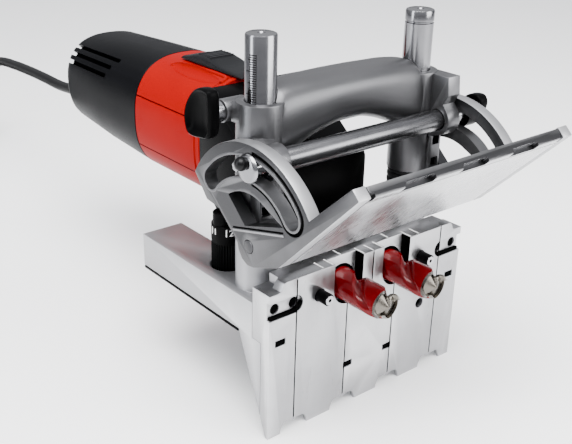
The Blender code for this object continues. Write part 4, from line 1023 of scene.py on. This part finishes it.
def make_fence():
    """Fence plate with pads and pockets along its upper edge, ribs behind and a groove in its face with
    painted shade at its floor.
    """
    rear = FENCE_N - FENCE_THICK
    section = [(FENCE_NEAR, FENCE_N), (FENCE_FAR, FENCE_N), (FENCE_FAR, rear + 0.0005),
               (FENCE_FAR - 0.004, rear), (FENCE_NEAR, rear)]
    plate = rounded(prism_bm(section, "X", -0.0600, 0.0600), 0.0003, 2)
    cuts, joins = [], []
    deep, above = FENCE_N - 0.0022, FENCE_N + 0.002
    starts = [-0.0615] + [x + PAD_HALF for x in PAD_X]
    ends = [x - PAD_HALF for x in PAD_X] + [0.0615]
    for x0, x1 in zip(starts, ends):
        pocket = [(x0 - 0.0014, above), (x0 + 0.0002, deep + 0.0014), (x0 + 0.0016, deep),
                  (x1 - 0.0006, deep), (x1, deep + 0.0006), (x1, above)]
        cuts.append(prism_bm(pocket, "Y", FENCE_FAR - 0.0032, FENCE_FAR + 0.002))
    for x in (-0.040, -0.020, 0, 0.020, 0.040):
        joins.append(box_bm((x - 0.0015, 0.018, rear - 0.0025), (x + 0.0015, 0.060, rear + 0.001)))
    line = FENCE_FAR - 0.0046
    cuts.append(prism_bm([(line - 0.0004, FENCE_N + 0.001), (line + 0.0004, FENCE_N + 0.001),
                          (line + 0.0003, FENCE_N - 0.0004), (line - 0.0003, FENCE_N - 0.0004)],
                         "X", -0.061, 0.061))
    shape = merged(plate, joins, cuts)
    for face in shape.faces:
        face.material_index = 1 if face.normal.z > 0.995 else 0
    shape.transform(FENCE_FRAME)
    add_piece("fence_table", shape, "fence", "plate_alloy", ("fence_plate",),
              look=[LOOKS["cast_alloy"], FACE_ALLOY], corner=30)
    # a black strip at the floor of the face's groove: painted shade
    fill = box_bm((-0.0598, line - 0.0003, FENCE_N - 0.0004), (0.0598, line + 0.0003, FENCE_N - 0.00015))
    fill.transform(FENCE_FRAME)
    add_piece("fence_line_painted_shade", fill, "fence", "plate_alloy", look=DARK_PRINT_AND_SHADE)


make_fence()


def slot_end(angle):
    """Middle of the curved slot at a bearing."""
    return (PIVOT_Y + SLOT_MID * cos(radians(angle)), PIVOT_Z + SLOT_MID * sin(radians(angle)))


def slot_outline(grow):
    """The curved slot's outline, grown by a margin."""
    first, last = SLOT_ANGLES
    return (arc(PIVOT_Y, PIVOT_Z, SLOT_MID + SLOT_HALF + grow, first, last, 49)
            + arc(*slot_end(last), SLOT_HALF + grow, last, last + 180, 17)[1:-1]
            + arc(PIVOT_Y, PIVOT_Z, SLOT_MID - SLOT_HALF - grow, last, first, 49)
            + arc(*slot_end(first), SLOT_HALF + grow, first + 180, first + 360, 17)[1:-1])


def band_outline(line, half):
    """A closed outline at a half width on both sides of an open line in the side view."""
    left, right_side = [], []
    for i, (y, z) in enumerate(line):
        a, b = line[max(i - 1, 0)], line[min(i + 1, len(line) - 1)]
        ty, tz = b[0] - a[0], b[1] - a[1]
        long = hypot(ty, tz)
        left.append((y - tz / long * half, z + ty / long * half))
        right_side.append((y + tz / long * half, z - ty / long * half))
    return left + right_side[::-1]


def groove_line():
    """Two rings beside the slot that meet round its front end."""
    end = slot_end(SLOT_ANGLES[1])
    outer = arc(PIVOT_Y, PIVOT_Z, SLOT_MID + 0.0073, 92, 139, 30)
    around = [(end[0] + r * cos(radians(a)), end[1] + r * sin(radians(a)))
              for a, r in ((SLOT_ANGLES[1] + 12 * k, 0.0072 - 0.00006 * k) for k in range(1, 15))]
    inner = arc(PIVOT_Y, PIVOT_Z, SLOT_MID - 0.0063, 139, 93, 30)
    return outer + around + inner


def make_quadrant(side, word):
    """One cheek of the fence: slot, window, grooves with painted shade in them, raised lips, and a painted
    highlight on the rim.
    """
    def from_face(outline, inward, outward):
        """A prism from a depth inside the outer face to a height outside it."""
        return prism_bm(outline, "X", *sorted((face - side * inward, face + side * outward)))

    outline = arc(PIVOT_Y, PIVOT_Z, QUAD_R, 29, 146.3, 97)
    outline += [fence_point(FENCE_FAR, FENCE_N - FENCE_THICK), fence_point(FENCE_FAR, FENCE_N),
                fence_point(FENCE_NEAR, FENCE_N)]
    outline += [(0.0076, 0.0889), (0.0120, 0.0884), (0.0160, 0.0902), (0.0186, 0.0938), (0.0195, 0.0972),
                (0.0331, 0.1087), (0.0427, 0.1100)]
    window = arc(PIVOT_Y, PIVOT_Z, 0.0250, 53, 118, 41)
    window += [(-0.0104, 0.1161), (-0.0122, 0.1154), (0.0137, 0.1070)]
    x0, x1 = span(side, QUAD_IN, QUAD_OUT)
    face = side * QUAD_OUT
    plate = rounded(prism_bm(outline, "X", x0, x1), 0.0004, 2)
    through = (x0 - 0.01, x1 + 0.01)
    grooved = band_outline(groove_line(), 0.00088)
    straight = band_outline([(0.0226, 0.1034), (-0.0125, 0.1130)], 0.00045)
    cuts = [prism_bm(slot_outline(0), "X", *through), prism_bm(window, "X", *through),
            rod_bm("X", (0, PIVOT_Y, PIVOT_Z), 0.0033, *through, 40),
            from_face(grooved, 0.0016, 0.002), from_face(straight, 0.0010, 0.002)]
    shape = merged(plate, (), cuts)
    # the outer rim's faces take the paler machined alloy: a painted highlight for the rim's reflection
    for polygon in shape.faces:
        spot = polygon.calc_center_median()
        outside = hypot(spot.y - PIVOT_Y, spot.z - PIVOT_Z) > QUAD_R - 0.0003
        polygon.material_index = int(outside and abs(polygon.normal.x) < 0.9)
    add_piece("tilt_quadrant_" + word, shape, "fence", "cast_alloy", ("fence_quadrant_" + word,),
              look=[LOOKS["cast_alloy"], ARM_ALLOY_AND_RIM_HIGHLIGHT], corner=30)
    # black fills at the grooves' floors: painted shade
    dark = [from_face(band_outline(groove_line(), 0.00086), 0.0016, -0.0009),
            from_face(band_outline([(0.0225, 0.10343), (-0.0124, 0.11297)], 0.00043), 0.0010, -0.0005)]
    add_piece("quadrant_groove_fill_" + word, joined(*dark), "fence", "cast_alloy", look=PAINTED_SHADE_BLACK)
    lip = merged(from_face(slot_outline(0.0012), 0.0008, 0.00026), (),
                 [from_face(slot_outline(0.00002), 0.002, 0.002)])
    rib = from_face(band_outline([(0.0224, 0.1022), (-0.0128, 0.1118)], 0.0005), 0.0008, 0.00026)
    add_piece("quadrant_lip_" + word, joined(lip, rib), "fence", "plate_alloy", look=BRIDGE_ALLOY,
              bevel=0.00015)


for side, word in SIDES:
    make_quadrant(side, word)


# ---------------------------------------------------------------- motor unit
for piece, node in (("gear_front_cover", "gear_cover"), ("gear_case", "gear_housing")):
    add_piece(piece, cad_bm(node), "motor_unit", "black_plastic", (node,), bevel=0.0005, corner=40)

# the raised bead beside each finger recess, as points (across, Y, height)
BEAD = [(0.0168, 0.1478, 0.1434), (0.0138, 0.1426, 0.1446), (0.0122, 0.1313, 0.1450),
        (0.0115, 0.1192, 0.1452), (0.0114, 0.1080, 0.1452), (0.0124, 0.1022, 0.1450),
        (0.0168, 0.1007, 0.1435)]
SEAMS = ((0.1256, 0.0323), (0.0966, 0.0318))     # height, and the tube's half width there


def tube_bm(points, radius):
    """A thin twelve-sided bar along a path, for joining to a shape."""
    rings = []
    for i, point in enumerate(points):
        ahead = (points[min(i + 1, len(points) - 1)] - points[max(i - 1, 0)]).normalized()
        across = ahead.cross(Vector((0, 0, 1))).normalized()
        rise = across.cross(ahead)
        rings.append([tuple(point + radius * (cos(tau * k / 12) * across + sin(tau * k / 12) * rise))
                      for k in range(12)])
    return loft_bm(rings)


SCOOP_AT = (0.0172, 0.1240, 0.1444)
SCOOP_HALF = (0.0052, 0.0225, 0.0031)


def make_red_tube():
    """Red motor housing: front bead, finger recesses with raised rims, seams and the switch's opening, with
    painted shade in the seams.
    """
    rings = []
    for y, grow in ((RED_FRONT, -0.0004), (RED_FRONT + 0.0004, 0), (RED_FRONT + 0.0032, 0),
                    (RED_FRONT + 0.0038, -0.0007), (RED_FRONT + 0.0046, -0.0007), (RED_FRONT + 0.0052, 0),
                    (SEAM_Y - 0.0004, 0), (SEAM_Y, -0.0004)):
        rings.append(superellipse(BODY_Z, BODY_A + grow, BODY_B + grow, 2.5, y, 128))
    for y in (SEAM_Y, RED_FRONT):
        rings.append(superellipse(BODY_Z, BODY_A - WALL, BODY_B - WALL, 2.5, y, 128))
    cuts = [box_bm((-0.0039, 0.108, 0.135), (0.0039, 0.150, 0.150))]
    dark, joins = [], []
    for side, _ in SIDES:
        scoop = bmesh.new()
        bmesh.ops.create_uvsphere(scoop, u_segments=48, v_segments=24, radius=1.0)
        scoop.transform(Matrix.Translation((side * SCOOP_AT[0], *SCOOP_AT[1:]))
                        @ Matrix.Rotation(radians(side * 22), 4, "Y") @ Matrix.Diagonal((*SCOOP_HALF, 1)))
        cuts.append(scoop)
        path = smooth_route([(side * x, y, z) for x, y, z in BEAD], 0.0008)
        joins.append(tube_bm(path, 0.0011))
        for z, surface_x in SEAMS:
            low, high = span(side, surface_x - 0.0007, 0.036)
            cuts.append(box_bm((low, RED_FRONT + 0.007, z - 0.00035), (high, SEAM_Y + 0.002, z + 0.00035)))
            # black strips at the seams' floors: painted shade
            low, high = span(side, surface_x - 0.0006, surface_x - 0.0003)
            dark.append(box_bm((low, RED_FRONT + 0.0072, z - 0.00033), (high, SEAM_Y - 0.0003, z + 0.00033)))
    shape = merged(loft_bm(rings, loop=True), joins, cuts)
    add_piece("motor_tube", shape, "motor_unit", "red_plastic", ("motor_housing",), corner=32)
    add_piece("motor_tube_seam_painted_shade", joined(*dark), "motor_unit", "red_plastic", look=PAINTED_SHADE_BLACK)


make_red_tube()


def make_cap():
    """Tapered hollow rear cap with three vents a side, and black sheets of painted shade seen through them.
    """
    start = SEAM_Y + GAP
    outer = [(start, BODY_A - 0.0004, BODY_B - 0.0004, BODY_Z), (start + 0.0005, BODY_A, BODY_B, BODY_Z),
             (0.205, 0.0330, 0.0318, 0.1125), (0.244, 0.0316, 0.0290, 0.1136),
             (0.2470, 0.0311, 0.0285, 0.1136), (0.2492, 0.0303, 0.0277, 0.1136),
             (0.2504, 0.0292, 0.0266, 0.1136), (CAP_END, 0.0278, 0.0252, 0.1136)]
    shell = [superellipse(z, a, b, 2.5, y, 128) for y, a, b, z in outer]
    hollow = [superellipse(z, a - WALL, b - WALL, 2.5, min(y, CAP_END - WALL), 128)
              for y, a, b, z in (outer[0], outer[2], outer[3])]
    cuts = [rod_bm("Y", (0, 0, GLAND_Z), 0.0055, 0.22, 0.26, 32)]
    for side, _ in SIDES:
        for lift, front in ((26, 0.199), (35.5, 0.196), (45, 0.191)):
            vent = rounded(box_bm((0.0235, front, -0.0013), (0.045, CAP_END + 0.003, 0.0013)), 0.0005, 2)
            turn = Matrix.Rotation(radians(-lift if side > 0 else lift - 180), 4, "Y")
            vent.transform(Matrix.Translation((0, 0, VENT_Z)) @ turn)
            cuts.append(vent)
    shape = merged(loft_bm(hollow[::-1] + shell), (), cuts)
    add_piece("motor_cap", shape, "motor_unit", "black_plastic", ("rear_cap",), look=CAP_BLACK, corner=32)
    # a black sheet and disc inside the cap: painted shade behind the vents
    shade_sheet = [superellipse(0.1130, 0.0285 - shrink, 0.0262 - shrink, 2.5, y, 64)
              for y, shrink in ((0.1870, 0.0006), (0.1870, 0), (0.2460, 0), (0.2460, 0.0006))]
    disc = loft_bm([superellipse(0.1134, half, tall, 2.5, y, 64) for y, half, tall in
                    ((0.2455, 0.0286, 0.0258), (0.2480, 0.0280, 0.0254), (0.2504, 0.0264, 0.0238))])
    add_piece("cap_painted_shade", joined(loft_bm(shade_sheet, loop=True), disc), "motor_unit", "black_plastic",
              look=PAINTED_SHADE_BLACK)


make_cap()


def make_switch():
    """Thumb switch with a smooth hump, crowned across, and grip ridges."""
    profile = [(0.0920, 0.1468), (0.0935, 0.1475), (0.0990, 0.1478), (0.1070, 0.1481), (0.1120, 0.1484),
               (0.1160, 0.1491), (0.1200, 0.1502), (0.1240, 0.1509), (0.1290, 0.1513), (0.1330, 0.1510),
               (0.1370, 0.1504), (0.1400, 0.1494), (0.1425, 0.1486), (0.1450, 0.1482), (0.1472, 0.1478),
               (0.1480, 0.1468)]
    crown = [(1, 0), (1, 0.55), (0.97, 0.78), (0.88, 0.93), (0.7, 0.985), (0.35, 1.0)]
    across_top = [(-across, share) for across, share in crown] + [(0, 1.0)] + crown[::-1]
    low = 0.1464
    rings = [[(0.0100 * across, y, low + (top - low) * share) for across, share in across_top]
             for y, top in profile]
    ridges = [box_bm((-0.0078, 0.1226 + 0.0026 * k, 0.1490), (0.0078, 0.1236 + 0.0026 * k, 0.15135))
              for k in range(5)]
    stem = box_bm((-0.0034, 0.116, 0.1427), (0.0034, 0.141, 0.1480))
    add_piece("thumb_switch", joined(loft_bm(rings), *ridges, stem), "switch", "grey_plastic",
              ("slide_switch",), corner=38)


make_switch()


# ---------------------------------------------------------------- spindles and bits
BIT_R = 0.0076
BIT_START, BIT_END, BIT_POINT = 0.0122, -0.0262, -0.0285
BIT_TURNS = 0.95
BIT_STEPS = 96


def flute_radius(turn):
    """Radius of the bit's section against the angle from a land's middle, in radians."""
    off = abs((turn + pi / 2) % pi - pi / 2)
    land = radians(50)
    if off <= land:
        return BIT_R
    t = (off - land) / (pi / 2 - land)
    return BIT_R - (BIT_R - 0.0046) * (0.5 - 0.5 * cos(pi * min(1.0, t * 1.15)))


def bit_section(y, grow):
    """The bit's section at a Y, as offsets from its axis, scaled by a share of full size."""
    turn = tau * BIT_TURNS * (BIT_START - y) / (BIT_START - BIT_END)
    out = []
    for k in range(BIT_STEPS):
        t = tau * k / BIT_STEPS
        r = flute_radius(t) * grow
        out.append((r * cos(t + turn), r * sin(t + turn)))
    return out


def make_bit(side, word):
    """Twisted coated body and a bare tip with a middle point and two leading spurs."""
    def ring_at(y, grow):
        return [(x + a, y, SPINDLE_Z + b) for a, b in bit_section(y, grow)]

    x = side * SPINDLE_X
    coated_end = -0.0246
    body = [ring_at(BIT_START + (coated_end - BIT_START) * i / 60, 1.0) for i in range(61)]
    tip = [ring_at(y, 0.997) for y in (coated_end, -0.0254, BIT_END)]
    for grow in (0.97, 0.90, 0.82, 0.74, 0.60, 0.45, 0.30, 0.15, 0.04):
        ring = []
        for k, (a, b) in enumerate(bit_section(BIT_END, grow)):
            cone = BIT_POINT + 0.0042 * grow ** 0.8
            lead = max(0.0, cos(2 * (tau * k / BIT_STEPS - radians(38)))) ** 5
            ring.append((x + a, cone - 0.0044 * lead * max(0.0, grow - 0.74) / 0.26, SPINDLE_Z + b))
        tip.append(ring)
    add_piece("spur_bit_" + word, joined(loft_bm(body), (loft_bm(tip), 1)), "drill_" + word, "crimson_coat",
              ("drill_bit_" + word,), look=[LOOKS["crimson_coat"], BARE_STEEL], corner=36)


for side, word in SIDES:
    make_bit(side, word)
    add_piece("slide_shoe_block_" + word, cad_bm("slide_shoe_" + word), "motor_unit", "grey_plastic",
              ("slide_shoe_" + word,), bevel=0.0003)
